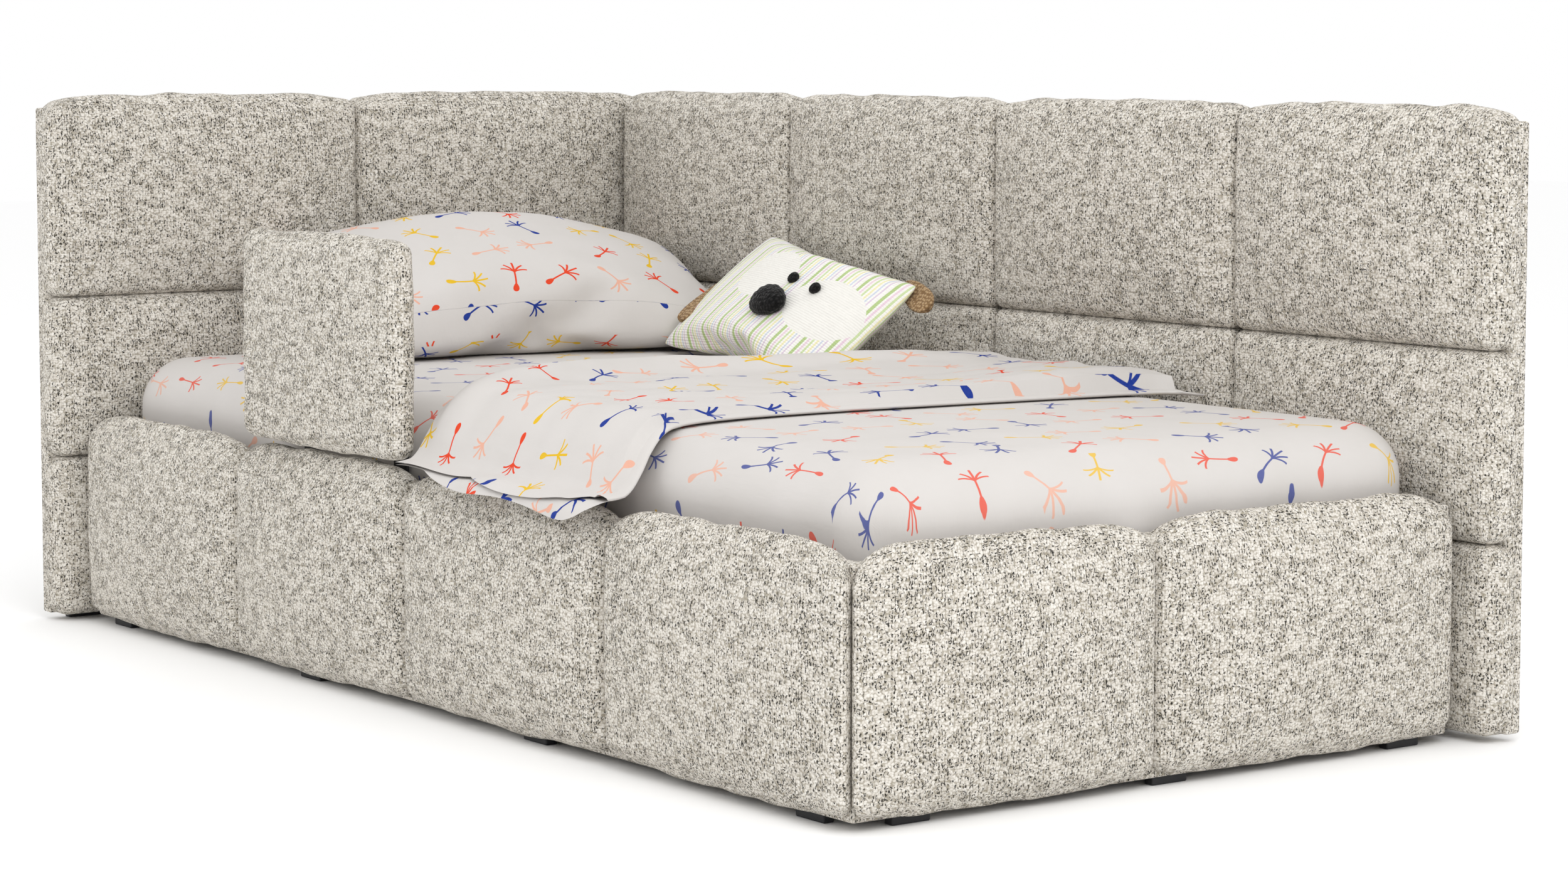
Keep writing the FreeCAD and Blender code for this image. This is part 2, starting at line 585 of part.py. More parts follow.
def guard_socket(side, left):
    """The steel keeper behind the rail that the bracket drops into."""
    outer = plain_box("socket_outer_" + side, "%s + bracket_wide / 2 - socket_wide / 2" % left,
                      "%s + rail_thick" % FRONT_FACE, "socket_bottom",
                      "socket_wide", "socket_deep", "socket_tall")
    plate_back = "guard_front + guard_board_front + guard_board_thick + bracket_reach"
    slot = plain_box("socket_slot_" + side, "%s - slot_clear" % left,
                     "%s - bracket_thick - slot_clear" % plate_back,
                     "socket_bottom - cut_past", "bracket_wide + 2 * slot_clear",
                     "bracket_thick + 2 * slot_clear", "2 * socket_tall")
    socket = DOC.addObject("Part::Cut", "guard_socket_" + side)
    socket.Base = outer
    socket.Tool = slot
    return keep(socket, "guard_socket_" + side)


def guard_bolt(name, x, z):
    """A button-head bolt through a bracket and the guard's board."""
    shank = DOC.addObject("Part::Cylinder", name + "_shank")
    bind(shank, "Radius", "guard_bolt_radius")
    bind(shank, "Height", "guard_board_thick + bracket_thick")
    head = DOC.addObject("Part::Cylinder", name + "_head")
    bind(head, "Radius", "guard_bolt_head")
    bind(head, "Height", "guard_bolt_head_tall")
    to_front = FreeCAD.Rotation(FreeCAD.Vector(0, 0, 1), FreeCAD.Vector(0, -1, 0))
    for cylinder, back in ((shank, "0"), (head, "guard_bolt_head_tall")):
        cylinder.Placement = FreeCAD.Placement(FreeCAD.Vector(), to_front)
        bind(cylinder, "Placement.Base.x", x)
        bind(cylinder, "Placement.Base.y", "%s + bracket_thick + %s" % (GUARD_PLATE_FRONT, back))
        bind(cylinder, "Placement.Base.z", z)
    bolt = DOC.addObject("Part::MultiFuse", name)
    bolt.Shapes = [shank, head]
    return bolt


guard_pad()
guard_board()
for side, left in BRACKETS.items():
    guard_bracket(side, left)
    guard_socket(side, left)
group("guard_bolts", [
    guard_bolt("guard_bolt_%s_%s" % (side, level), "%s + bracket_wide / 2" % left,
               "guard_bottom + guard_bolt_%s" % level)
    for side, left in BRACKETS.items() for level in ("low", "high")])

# ---------------------------------------------------------------- loose bedding


def cushion_block(label, long, deep, tall, radius):
    """A soft rectangular block with every edge well rounded, its low corner at its own origin."""
    body = new_body(label)
    plan = rectangle(body, "XY_Plane", "0", "0", long, deep, "Plan")
    slab = pad_up(body, plan, tall)
    round_all(body, slab, radius)
    return body


def up_the_cushion(along, out):
    """Y and Z formulas of a spot on the tilted cushion, measured up its face and out from its back."""
    lean = "cushion_tilt * 1 deg"
    y = "cushion_front + %s * cos(%s) - %s * sin(%s)" % (along, lean, out, lean)
    z = "%s + %s * sin(%s) + %s * cos(%s)" % (CUSHION_Z, along, lean, out, lean)
    return y, z


def tilted(body, x, y, z, tilt):
    """Leans a piece back about its own X axis by tilt degrees."""
    body.Placement = FreeCAD.Placement(FreeCAD.Vector(), FreeCAD.Rotation(FreeCAD.Vector(1, 0, 0), tilt))
    bind(body, "Placement.Base.x", x)
    bind(body, "Placement.Base.y", y)
    bind(body, "Placement.Base.z", z)
    return body


pillow = cushion_block("pillow", "pillow_wide", "pillow_long", "pillow_tall", "pillow_round")
place(pillow, "%s + pillow_gap" % HEAD_FACE, "pillow_front", "%s + rest_gap" % MATTRESS_TOP)
keep(pillow, "pillow")

TILT = SIZES["cushion_tilt"]
CUSHION_Z = "(%s + rest_gap - cushion_sink)" % MATTRESS_TOP
cushion = cushion_block("face_cushion", "cushion_side", "cushion_deep", "cushion_tall", "cushion_round")
tilted(cushion, "cushion_left", "cushion_front", CUSHION_Z, TILT)
keep(cushion, "face_cushion")

ears = []
for name, left in (("left", "cushion_left - ear_wide"), ("right", "cushion_left + cushion_side")):
    ear = cushion_block("ear_" + name, "ear_wide", "ear_long", "ear_thick", "ear_round")
    y, z = up_the_cushion("(ear_middle - ear_long / 2)", "(cushion_tall / 2 - ear_thick / 2)")
    tilted(ear, left, y, z, TILT)
    ears.append(ear)
group("cushion_ears", ears)

nose = DOC.addObject("Part::Cylinder", "cushion_nose")
bind(nose, "Radius", "nose_radius")
bind(nose, "Height", "nose_depth")
nose_y, nose_z = up_the_cushion("nose_up", "cushion_tall")
tilted(nose, "cushion_left + cushion_side / 2", nose_y, nose_z, TILT)
keep(nose, "cushion_nose")

# The blanket's corners on the mattress beyond its front edge, as (x, y): down its foot side to the
# back panel, then along its head side, which curves clear of the cushion.
BLANKET_CORNERS = [(385, -280), (380, -100), (411, 209), (500, 395),
                   (60, 395), (-10, 180), (-110, 10), (-85, -200)]


def blanket():
    """A folded blanket: laid across the mattress, down its side, over the rail and hanging in front."""
    laid = new_body("blanket_laid")
    top = outline(laid, "XY_Plane", [
        ("blanket_left", "%s - rest_gap - blanket_drop" % MATTRESS_FRONT),
        ("blanket_right", "%s - rest_gap - blanket_drop" % MATTRESS_FRONT)] + BLANKET_CORNERS, "Plan")
    pad_up(laid, top, "blanket_thick")
    place(laid, 0, 0, "%s + rest_gap" % MATTRESS_TOP)
    drop = new_body("blanket_drop_side")
    low = "rail_top + rest_gap"
    outer_y = "(%s - rest_gap - blanket_drop)" % FRONT_FACE
    inner_y = "(%s - rest_gap)" % MATTRESS_FRONT
    section = outline(drop, "YZ_Plane", [
        (outer_y, "blanket_hem"), ("%s + blanket_drop" % outer_y, "blanket_hem"),
        ("%s + blanket_drop" % outer_y, low), ("%s - blanket_drop" % inner_y, low),
        (inner_y, low), (inner_y, "%s + rest_gap" % MATTRESS_TOP),
        ("%s - blanket_drop" % inner_y, "%s + rest_gap" % MATTRESS_TOP),
        ("%s - blanket_drop" % inner_y, "%s + blanket_drop" % low),
        (outer_y, "%s + blanket_drop" % low)], "Section")
    pad_up(drop, section, "blanket_right - blanket_left")
    place(drop, "blanket_left", 0, 0)
    whole = DOC.addObject("Part::MultiFuse", "blanket")
    whole.Shapes = [laid, drop]
    return keep(whole, "blanket")


blanket()

# ---------------------------------------------------------------- checks and files

DOC.recompute()
for thing in DOC.Objects:
    troubles = [state for state in thing.State if state in ("Invalid", "Error")]
    if troubles:
        raise RuntimeError("%s (%s) is %s" % (thing.Label, thing.Name, troubles))
for thing in NODES:
    if thing.Shape.isNull() or not thing.Shape.isValid() or not thing.Shape.Solids:
        raise RuntimeError("%s has no valid solid" % thing.Label)

os.makedirs("parts", exist_ok=True)
for thing in NODES:
    thing.Shape.exportStep("parts/%s.step" % thing.Label)
print(len(NODES), "sub-parts written")
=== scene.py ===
import json
import math

import bpy
import numpy as np
from mathutils import Matrix, Vector


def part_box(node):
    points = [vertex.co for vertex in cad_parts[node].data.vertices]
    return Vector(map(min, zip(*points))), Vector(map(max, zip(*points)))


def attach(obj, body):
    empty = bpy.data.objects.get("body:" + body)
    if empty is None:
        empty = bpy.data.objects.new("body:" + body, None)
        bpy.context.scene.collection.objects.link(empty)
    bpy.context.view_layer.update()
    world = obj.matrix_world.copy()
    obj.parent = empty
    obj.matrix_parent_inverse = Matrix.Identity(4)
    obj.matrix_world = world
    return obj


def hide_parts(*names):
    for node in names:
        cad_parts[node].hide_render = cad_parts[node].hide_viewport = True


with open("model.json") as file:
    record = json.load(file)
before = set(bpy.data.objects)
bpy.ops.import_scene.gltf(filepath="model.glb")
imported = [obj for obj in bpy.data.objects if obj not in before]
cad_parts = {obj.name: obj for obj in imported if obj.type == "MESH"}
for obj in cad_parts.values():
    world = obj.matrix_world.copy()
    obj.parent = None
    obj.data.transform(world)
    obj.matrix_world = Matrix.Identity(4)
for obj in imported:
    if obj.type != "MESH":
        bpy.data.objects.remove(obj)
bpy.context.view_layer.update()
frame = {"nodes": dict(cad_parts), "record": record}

# An upholstered corner bed: tall padded panels at the head and along the back, low padded rails
# at the front and foot, a lift-off guard, a mattress in a printed sheet and its loose bedding.
# Lengths are in metres. +X runs from the headboard to the foot rail, +Y to the back panel, +Z up.

scene = bpy.context.scene

# ---------------------------------------------------------------- node graphs


class Graph:
    """A material's node tree, with short calls for the nodes that the fabrics are made of."""

    def __init__(self, name):
        self.material = bpy.data.materials.new(name)
        self.material.use_nodes = True
        self.tree = self.material.node_tree
        self.tree.nodes.clear()
        self.output = self.tree.nodes.new("ShaderNodeOutputMaterial")
        self.shader = self.tree.nodes.new("ShaderNodeBsdfPrincipled")
        self.link(self.shader.outputs["BSDF"], self.output.inputs["Surface"])

    def link(self, start, end):
        self.tree.links.new(start, end)

    def give(self, socket, value):
        """Links a socket, or sets its value."""
        if isinstance(value, bpy.types.NodeSocket):
            self.link(value, socket)
        elif value is not None:
            socket.default_value = value

    def node(self, kind, inputs=None, **settings):
        made = self.tree.nodes.new(kind)
        for name, value in settings.items():
            setattr(made, name, value)
        for name, value in (inputs or {}).items():
            self.give(made.inputs[name], value)
        return made

    def math(self, operation, a, b=None, c=None, clamp=False):
        made = self.node("ShaderNodeMath", operation=operation, use_clamp=clamp)
        for socket, value in zip(made.inputs, (a, b, c)):
            self.give(socket, value)
        return made.outputs[0]

    def times(self, a, b):
        return self.math("MULTIPLY", a, b)

    def plus(self, a, b):
        return self.math("ADD", a, b)

    def minus(self, a, b):
        return self.math("SUBTRACT", a, b)

    def squares(self, a, b):
        """The sum of two squares."""
        return self.plus(self.times(a, a), self.times(b, b))

    def vector(self, operation, a, b=None, scale=None):
        made = self.node("ShaderNodeVectorMath", operation=operation)
        self.give(made.inputs[0], a)
        self.give(made.inputs[1], b)
        self.give(made.inputs[3], scale)
        return made.outputs["Vector"]

    def split(self, vector):
        return self.node("ShaderNodeSeparateXYZ", {"Vector": vector}).outputs

    def join(self, x=0.0, y=0.0, z=0.0):
        return self.node("ShaderNodeCombineXYZ", {"X": x, "Y": y, "Z": z}).outputs["Vector"]

    def step(self, value, start, stop):
        """0 below start, 1 above stop, and a smooth rise between them; start may be above stop."""
        made = self.node("ShaderNodeMapRange", {"Value": value, "From Min": start, "From Max": stop},
                         interpolation_type="SMOOTHSTEP")
        return made.outputs["Result"]

    def mix(self, share, a, b, blend="MIX"):
        made = self.node("ShaderNodeMix", data_type="RGBA", blend_type=blend)
        self.give(made.inputs[0], share)
        self.give(made.inputs[6], a)
        self.give(made.inputs[7], b)
        return made.outputs[2]

    def noise(self, vector, scale, detail=2.0, rough=0.5, dimensions="3D"):
        made = self.node("ShaderNodeTexNoise", {"Vector": vector, "Scale": scale, "Detail": detail,
                                                "Roughness": rough}, noise_dimensions=dimensions)
        return made.outputs["Fac"]

    def bands(self, value, stops):
        """Flat bands of colour along a value from 0 to 1; stops lists where each starts and its colour."""
        ramp = self.node("ShaderNodeValToRGB", {"Fac": value})
        ramp.color_ramp.interpolation = "CONSTANT"
        elements = ramp.color_ramp.elements
        while len(elements) < len(stops):
            elements.new(0.5)
        for index, (start, color) in enumerate(stops):
            elements[index].position = start
            elements[index].color = color
        return ramp.outputs["Color"]

    def uv(self):
        return self.node("ShaderNodeTexCoord").outputs["UV"]

    def place(self):
        return self.node("ShaderNodeTexCoord").outputs["Object"]

    def bump(self, height, distance, strength=1.0):
        made = self.node("ShaderNodeBump", {"Height": height, "Distance": distance, "Strength": strength})
        self.link(made.outputs["Normal"], self.shader.inputs["Normal"])

    def surface(self, color=None, rough=0.9, sheen=0.0, sheen_rough=0.5, metallic=0.0, specular=0.5):
        self.give(self.shader.inputs["Base Color"], color)
        self.give(self.shader.inputs["Roughness"], rough)
        self.shader.inputs["Sheen Weight"].default_value = sheen
        self.shader.inputs["Sheen Roughness"].default_value = sheen_rough
        self.shader.inputs["Metallic"].default_value = metallic
        self.shader.inputs["Specular IOR Level"].default_value = specular
        return self.material


def rgb(red, green, blue):
    """A colour given as it looks on a screen, 0 to 255, turned into linear light."""
    def linear(value):
        share = value / 255
        return share / 12.92 if share <= 0.04045 else ((share + 0.055) / 1.055) ** 2.4
    return (linear(red), linear(green), linear(blue), 1.0)


# ---------------------------------------------------------------- materials

def flecks(g, uv, cell, reach, chance, shift):
    """Short dashes scattered one to a cell; cell and reach are sizes across and up, chance the share shown."""
    spread = g.vector("MULTIPLY", g.vector("ADD", uv, shift), (1 / cell[0], 1 / cell[1], 1.0))
    cells = g.node("ShaderNodeTexVoronoi", {"Vector": spread, "Scale": 1.0, "Randomness": 0.95},
                   voronoi_dimensions="2D", feature="F1")
    local = g.vector("SUBTRACT", spread, cells.outputs["Position"])
    local = g.vector("MULTIPLY", local, (cell[0] / reach[0], cell[1] / reach[1], 1.0))
    x, y, _ = g.split(local)
    pick = g.split(cells.outputs["Color"])
    long = g.plus(g.times(pick[1], 0.9), 0.55)
    y = g.math("DIVIDE", y, long)
    away = g.squares(x, y)
    shown = g.math("LESS_THAN", pick[0], chance)
    return g.times(g.step(away, 1.15, 0.75), shown)


def boucle():
    """Chunky woven tweed: soft cream knots with short near-black dashes between them and tan flecks."""
    g = Graph("boucle_tweed")
    uv = g.uv()
    wander = g.node("ShaderNodeTexNoise", {"Vector": uv, "Scale": 240.0, "Detail": 3.0},
                    noise_dimensions="2D").outputs["Color"]
    wander = g.vector("SUBTRACT", wander, (0.5, 0.5, 0.5))
    cloth = g.vector("ADD", uv, g.vector("SCALE", wander, scale=0.0042))
    area = g.noise(uv, 5.0, 3.0, 0.6, "2D")
    patch = g.noise(g.vector("MULTIPLY", uv, (1.0, 1.6, 1.0)), 45.0, 3.0, 0.65, "2D")
    crowd = g.plus(g.times(area, 0.5), g.times(patch, 1.8))
    chance = g.minus(crowd, 0.715)
    upright = flecks(g, cloth, (0.0034, 0.0046), (0.0006, 0.0018), chance, (0.0, 0.0, 0.0))
    second = flecks(g, cloth, (0.0041, 0.0044), (0.00055, 0.0014), g.times(chance, 0.75),
                    (2.7, 5.1, 0.0))
    level = flecks(g, cloth, (0.0058, 0.0038), (0.0015, 0.0005), g.times(chance, 0.7),
                   (4.3, 1.9, 0.0))
    dark = g.math("MAXIMUM", g.math("MAXIMUM", upright, second), level)
    olive = flecks(g, cloth, (0.0085, 0.0065), (0.0024, 0.0018), g.times(chance, 0.8),
                   (7.7, 3.3, 0.0))
    knots = g.node("ShaderNodeTexVoronoi", {
        "Vector": g.vector("MULTIPLY", cloth, (1 / 0.0038, 1 / 0.0031, 1.0)), "Scale": 1.0,
        "Randomness": 0.7}, voronoi_dimensions="2D", feature="F1")
    rise = knots.outputs["Distance"]
    tone = g.split(knots.outputs["Color"])[0]
    fuzz = g.noise(uv, 900.0, 2.0, 0.7, "2D")
    yarn = g.mix(tone, YARN_PALE, YARN_CREAM)
    # Painted shade: the yarn darkens towards YARN_SHADE in the hollows between the knots, where the bump sets
    # the surface low.
    yarn = g.mix(g.times(g.step(rise, 0.25, 0.7), 0.8), yarn, YARN_SHADE)
    yarn = g.mix(g.times(g.step(patch, 0.44, 0.66), 0.32), yarn, YARN_SHADE)
    yarn = g.mix(g.times(olive, 0.55), yarn, YARN_OLIVE)
    yarn = g.mix(g.times(fuzz, 0.35), yarn, YARN_SHADE)
    color = g.mix(g.times(dark, 0.93), yarn, YARN_DARK)
    height = g.minus(g.plus(g.times(fuzz, 0.3), 1.0), rise)
    g.bump(g.minus(height, g.times(dark, 0.6)), 0.0014, 0.6)
    return g.surface(color, rough=0.95, sheen=0.04, sheen_rough=0.6, specular=0.1)


YARN_PALE = rgb(244, 240, 233)
YARN_CREAM = rgb(222, 216, 207)
# YARN_SHADE is a darker yarn grey for the mottling and the fuzz, and also painted shade in the hollows between
# the knots.
YARN_SHADE = rgb(150, 142, 127)
YARN_OLIVE = rgb(140, 132, 112)
YARN_DARK = rgb(10, 9, 8)
SPRIG_CELL = 0.086
SPRIG_LONG = 0.066
# A sprig's own numbers are shares of SPRIG_LONG, with its stem along x; the hairs are HAIR_GAP radians apart.
SEED_MIDDLE = 0.42
HAIR_GAP = 0.52
BLUE_INK = rgb(6, 46, 138)
RED_INK = rgb(218, 62, 22)
YELLOW_INK = rgb(220, 178, 24)
PEACH_INK = rgb(222, 168, 146)
SPRIG_COLORS = [BLUE_INK, RED_INK, YELLOW_INK, PEACH_INK, BLUE_INK, RED_INK, PEACH_INK, BLUE_INK, YELLOW_INK]


def sprig(g, uv, shift=(0.0, 0.0, 0.0)):
    """Scattered dandelion seeds, each a long seed on a thin stem with a fan of hairs: their mask and colour."""
    spread = g.vector("SCALE", g.vector("ADD", uv, shift), scale=1.0 / SPRIG_CELL)
    cell = g.node("ShaderNodeTexVoronoi", {"Vector": spread, "Scale": 1.0, "Randomness": 0.4},
                  voronoi_dimensions="2D", feature="F1")
    local = g.vector("SUBTRACT", spread, cell.outputs["Position"])
    local = g.vector("SCALE", local, scale=SPRIG_CELL / SPRIG_LONG)
    pick = g.split(cell.outputs["Color"])
    angle = g.times(pick[0], 2 * math.pi)
    turned = g.node("ShaderNodeVectorRotate", {"Vector": local, "Angle": angle}, rotation_type="Z_AXIS")
    x, y, _ = g.split(turned.outputs["Vector"])
    bend = g.times(g.minus(pick[1], 0.5), 0.55)
    y = g.minus(y, g.times(bend, g.times(x, x)))
    along = g.math("ABSOLUTE", g.plus(x, 0.14))
    stem = g.times(g.step(g.math("ABSOLUTE", y), 0.026, 0.018), g.step(along, 0.25, 0.245))
    seed_x = g.math("DIVIDE", g.plus(x, SEED_MIDDLE), 0.125)
    seed_y = g.math("DIVIDE", y, g.plus(g.times(g.plus(x, SEED_MIDDLE), -0.2), 0.07))
    seed = g.step(g.squares(seed_x, seed_y), 1.08, 0.92)
    head = g.minus(x, 0.04)
    radius = g.math("SQRT", g.squares(head, y))
    theta = g.math("ARCTAN2", y, head)
    opening = g.plus(g.times(radius, 2.0), 0.45)
    swept = g.math("DIVIDE", theta, opening)
    strand = g.minus(g.math("FRACT", g.plus(g.math("DIVIDE", swept, HAIR_GAP), 0.5)), 0.5)
    off_line = g.times(g.times(g.math("ABSOLUTE", strand), HAIR_GAP), g.times(radius, opening))
    reach = g.minus(0.41, g.times(g.math("ABSOLUTE", swept), 0.07))
    fan = g.times(g.step(off_line, 0.03, 0.021), g.step(g.minus(radius, reach), 0.008, -0.004))
    fan = g.times(fan, g.step(g.math("ABSOLUTE", swept), 1.25, 1.23))
    mask = g.math("MAXIMUM", g.math("MAXIMUM", stem, seed), fan)
    inks = [(index / len(SPRIG_COLORS), color) for index, color in enumerate(SPRIG_COLORS)]
    return mask, g.bands(pick[2], inks)


def printed_cotton(name, fade=1.0, shift=(0.0, 0.0, 0.0), hem=None):
    """Fine white percale printed with the sprigs."""
    g = Graph(name)
    uv = g.uv()
    x, y, _ = g.split(uv)
    flap = None
    if hem is not None:
        # The closing flap: past its hem the print starts afresh.
        flap = g.times(g.step(x, hem, hem + 0.0012), g.math("LESS_THAN", x, 1.0))
        shift = g.vector("ADD", shift, g.join(g.times(flap, 0.037), g.times(flap, 0.051)))
    mask, ink = sprig(g, uv, shift)
    thread = 2 * math.pi / 0.0007
    weave = g.times(g.math("SINE", g.times(x, thread)), g.math("SINE", g.times(y, thread)))
    tone = g.noise(uv, 9.0, 3.0, 0.55, "2D")
    cloth = g.mix(tone, rgb(209, 205, 202), rgb(202, 198, 194))
    ink = g.mix(g.times(g.noise(uv, 260.0, 2.0, 0.6, "2D"), 0.03), ink, rgb(255, 255, 255))
    color = g.mix(g.times(mask, fade), cloth, ink)
    crease = g.noise(g.vector("MULTIPLY", uv, (1.0, 2.2, 1.0)), 22.0, 4.0, 0.6, "2D")
    relief = g.plus(g.times(weave, 0.06), crease)
    if flap is not None:
        relief = g.minus(relief, g.times(flap, 1.4))
    g.bump(relief, 0.0022, 0.35)
    return g.surface(color, rough=0.75, sheen=0.01, sheen_rough=0.4, specular=0.1)


def striped_cotton():
    """Soft white seersucker with pastel stripes, and two plain oval patches for the face."""
    g = Graph("striped_cotton")
    uv = g.uv()
    x, y, _ = g.split(uv)
    repeat = 0.047
    share = g.math("FRACT", g.math("DIVIDE", x, repeat))
    bands = [(0.0, rgb(236, 233, 228)), (0.08, rgb(172, 196, 128)), (0.2, rgb(238, 236, 232)),
             (0.27, rgb(226, 200, 214)), (0.34, rgb(236, 233, 228)), (0.42, rgb(196, 214, 160)),
             (0.5, rgb(240, 238, 232)), (0.58, rgb(232, 226, 176)), (0.65, rgb(238, 236, 232)),
             (0.72, rgb(196, 206, 222)), (0.78, rgb(238, 236, 232)), (0.86, rgb(214, 196, 214)),
             (0.92, rgb(238, 236, 232))]
    stripes = g.bands(share, bands)
    ribs = g.math("SINE", g.times(y, 2 * math.pi / 0.0042))
    color = g.mix(g.times(g.plus(ribs, 1.0), 0.09), stripes, rgb(206, 204, 196))
    patches = None
    for middle_x, middle_y, half_x, half_y in ((0.128, 0.012, 0.078, 0.056), (-0.05, 0.034, 0.066, 0.052)):
        across = g.math("DIVIDE", g.minus(x, middle_x), half_x)
        up = g.math("DIVIDE", g.minus(y, middle_y), half_y)
        inside = g.step(g.squares(across, up), 1.04, 1.0)
        patches = inside if patches is None else g.math("MAXIMUM", patches, inside)
    color = g.mix(patches, color, rgb(232, 230, 224))
    pucker = g.noise(g.vector("MULTIPLY", uv, (1.0, 3.0, 1.0)), 110.0, 2.0, 0.5, "2D")
    g.bump(g.plus(g.times(ribs, 0.35), pucker), 0.0012, 0.6)
    return g.surface(color, rough=0.85, sheen=0.1, specular=0.2)


def knit(name, light, dark, stitch=0.0045):
    """Hand-knitted yarn: rows of leaning stitches."""
    g = Graph(name)
    spot = g.place()
    cell = g.node("ShaderNodeTexVoronoi", {"Vector": spot, "Scale": 1 / stitch, "Randomness": 0.55},
                  voronoi_dimensions="3D", feature="F1")
    tone = g.noise(spot, 240.0, 3.0, 0.7)
    # Painted shade: each stitch darkens towards the dark colour at its edge, in the gaps where the bump sets
    # the surface low.
    color = g.mix(g.step(cell.outputs["Distance"], 0.25, 0.65), light, dark)
    color = g.mix(g.times(tone, 0.5), color, dark)
    g.bump(g.minus(1.0, cell.outputs["Distance"]), 0.0016, 0.9)
    return g.surface(color, rough=0.95, sheen=0.15, specular=0.12)


def timber(name, light, dark, along="X"):
    """Planed wood with grain along one axis."""
    g = Graph(name)
    stretch = {"X": (0.06, 1.0, 1.0), "Y": (1.0, 0.06, 1.0), "Z": (1.0, 1.0, 0.06)}[along]
    spot = g.vector("MULTIPLY", g.place(), stretch)
    warp = g.noise(spot, 26.0, 4.0, 0.6)
    rings = g.math("FRACT", g.times(warp, 9.0))
    fibre = g.noise(spot, 900.0, 3.0, 0.6)
    color = g.mix(rings, light, dark)
    color = g.mix(g.times(fibre, 0.4), color, dark)
    g.bump(fibre, 0.0004, 0.4)
    return g.surface(color, rough=0.6, specular=0.3)


def particle_board():
    """Pressed board: fine chips in two tones."""
    g = Graph("particle_board")
    spot = g.place()
    chips = g.node("ShaderNodeTexVoronoi", {"Vector": spot, "Scale": 420.0}, voronoi_dimensions="3D")
    color = g.mix(g.split(chips.outputs["Color"])[0], rgb(196, 168, 128), rgb(158, 124, 84))
    g.bump(chips.outputs["Distance"], 0.0004, 0.4)
    return g.surface(color, rough=0.8, specular=0.2)


def webbing():
    g = Graph("webbing")
    x = g.split(g.place())[0]
    ribs = g.math("SINE", g.times(x, 2 * math.pi / 0.002))
    color = g.mix(g.plus(g.times(ribs, 0.5), 0.5), rgb(200, 198, 190), rgb(160, 158, 150))
    g.bump(ribs, 0.0004, 0.5)
    return g.surface(color, rough=0.9, specular=0.15)


def metal(name, color, rough, metallic):
    g = Graph(name)
    marks = g.noise(g.vector("MULTIPLY", g.place(), (1.0, 1.0, 0.08)), 600.0, 3.0, 0.6)
    g.bump(marks, 0.0002, 0.25)
    shade = g.mix(g.times(marks, 0.35), color, tuple(0.6 * c for c in color[:3]) + (1.0,))
    return g.surface(shade, rough=g.plus(g.times(marks, 0.2), rough), metallic=metallic)


def moulded_plastic():
    g = Graph("black_plastic")
    grain = g.noise(g.place(), 1600.0, 2.0, 0.6)
    g.bump(grain, 0.0003, 0.4)
    return g.surface(g.mix(grain, rgb(22, 22, 24), rgb(38, 38, 41)), rough=0.55, specular=0.4)


def ticking():
    """The mattress's own quilted cover."""
    g = Graph("mattress_ticking")
    x, y, _ = g.split(g.place())
    across = g.math("SINE", g.times(g.plus(x, y), 2 * math.pi / 0.11))
    back = g.math("SINE", g.times(g.minus(x, y), 2 * math.pi / 0.11))
    quilt = g.times(g.math("ABSOLUTE", across), g.math("ABSOLUTE", back))
    g.bump(g.step(quilt, 0.0, 0.3), 0.003, 0.6)
    return g.surface(g.mix(g.noise(g.place(), 300.0), rgb(236, 233, 226), rgb(220, 216, 207)), rough=0.85)


BOUCLE = boucle()
SHEET_COTTON = printed_cotton("printed_sheet", fade=0.85)
PILLOW_COTTON = printed_cotton("printed_pillow", shift=(5.3, 2.2, 0.0), hem=0.19)
BLANKET_COTTON = printed_cotton("printed_blanket", shift=(9.4, 7.7, 0.0))
STRIPES = striped_cotton()
BLACK_KNIT = knit("black_knit", rgb(34, 32, 32), rgb(8, 8, 8), 0.0042)
TAN_KNIT = knit("tan_knit", rgb(188, 160, 122), rgb(122, 94, 62), 0.0042)
STEEL_BLACK = metal("black_steel", rgb(34, 34, 37), 0.4, 0.0)

CAD_FINISH = {
    "board": particle_board(),
    "timber": timber("pine", rgb(222, 190, 142), rgb(196, 158, 106)),
    "slat_birch": timber("birch", rgb(228, 202, 158), rgb(206, 174, 126), along="Y"),
    "webbing": webbing(),
    "zinc_steel": metal("zinc_steel", rgb(188, 190, 194), 0.3, 1.0),
    "black_steel": STEEL_BLACK,
    "black_plastic": moulded_plastic(),
}
SLOT_OF = {row["node"]: row["material_slot"] for row in frame["record"]["subparts"]}
for node, thing in frame["nodes"].items():
    finish = CAD_FINISH.get(SLOT_OF[node])
    if finish:
        thing.data.materials.clear()
        thing.data.materials.append(finish)

# ---------------------------------------------------------------- mesh building


def new_object(name, points, faces, material, uvs=None):
    """A mesh object; uvs are given per face corner."""
    mesh = bpy.data.meshes.new(name)
    mesh.from_pydata([tuple(p) for p in points], [], [tuple(int(i) for i in f) for f in faces])
    mesh.materials.append(material)
    if uvs is not None:
        layer = mesh.uv_layers.new(name="cloth")
        layer.data.foreach_set("uv", np.asarray(uvs, np.float32).ravel())
    mesh.polygons.foreach_set("use_smooth", [True] * len(mesh.polygons))
    mesh.update()
    thing = bpy.data.objects.new(name, mesh)
    scene.collection.objects.link(thing)
    return thing


def waves(points, length, seed, count=14):
    """Smooth random undulation between about -1 and 1, made of plane waves of about one wavelength."""
    draw = np.random.default_rng(seed)
    total = np.zeros(len(points))
    for _ in range(count):
        direction = draw.normal(size=3)
        direction /= np.linalg.norm(direction)
        pitch = length * draw.uniform(0.7, 1.5)
        total += np.sin(points @ direction * 2 * math.pi / pitch + draw.uniform(0, 2 * math.pi))
    return total / math.sqrt(count)


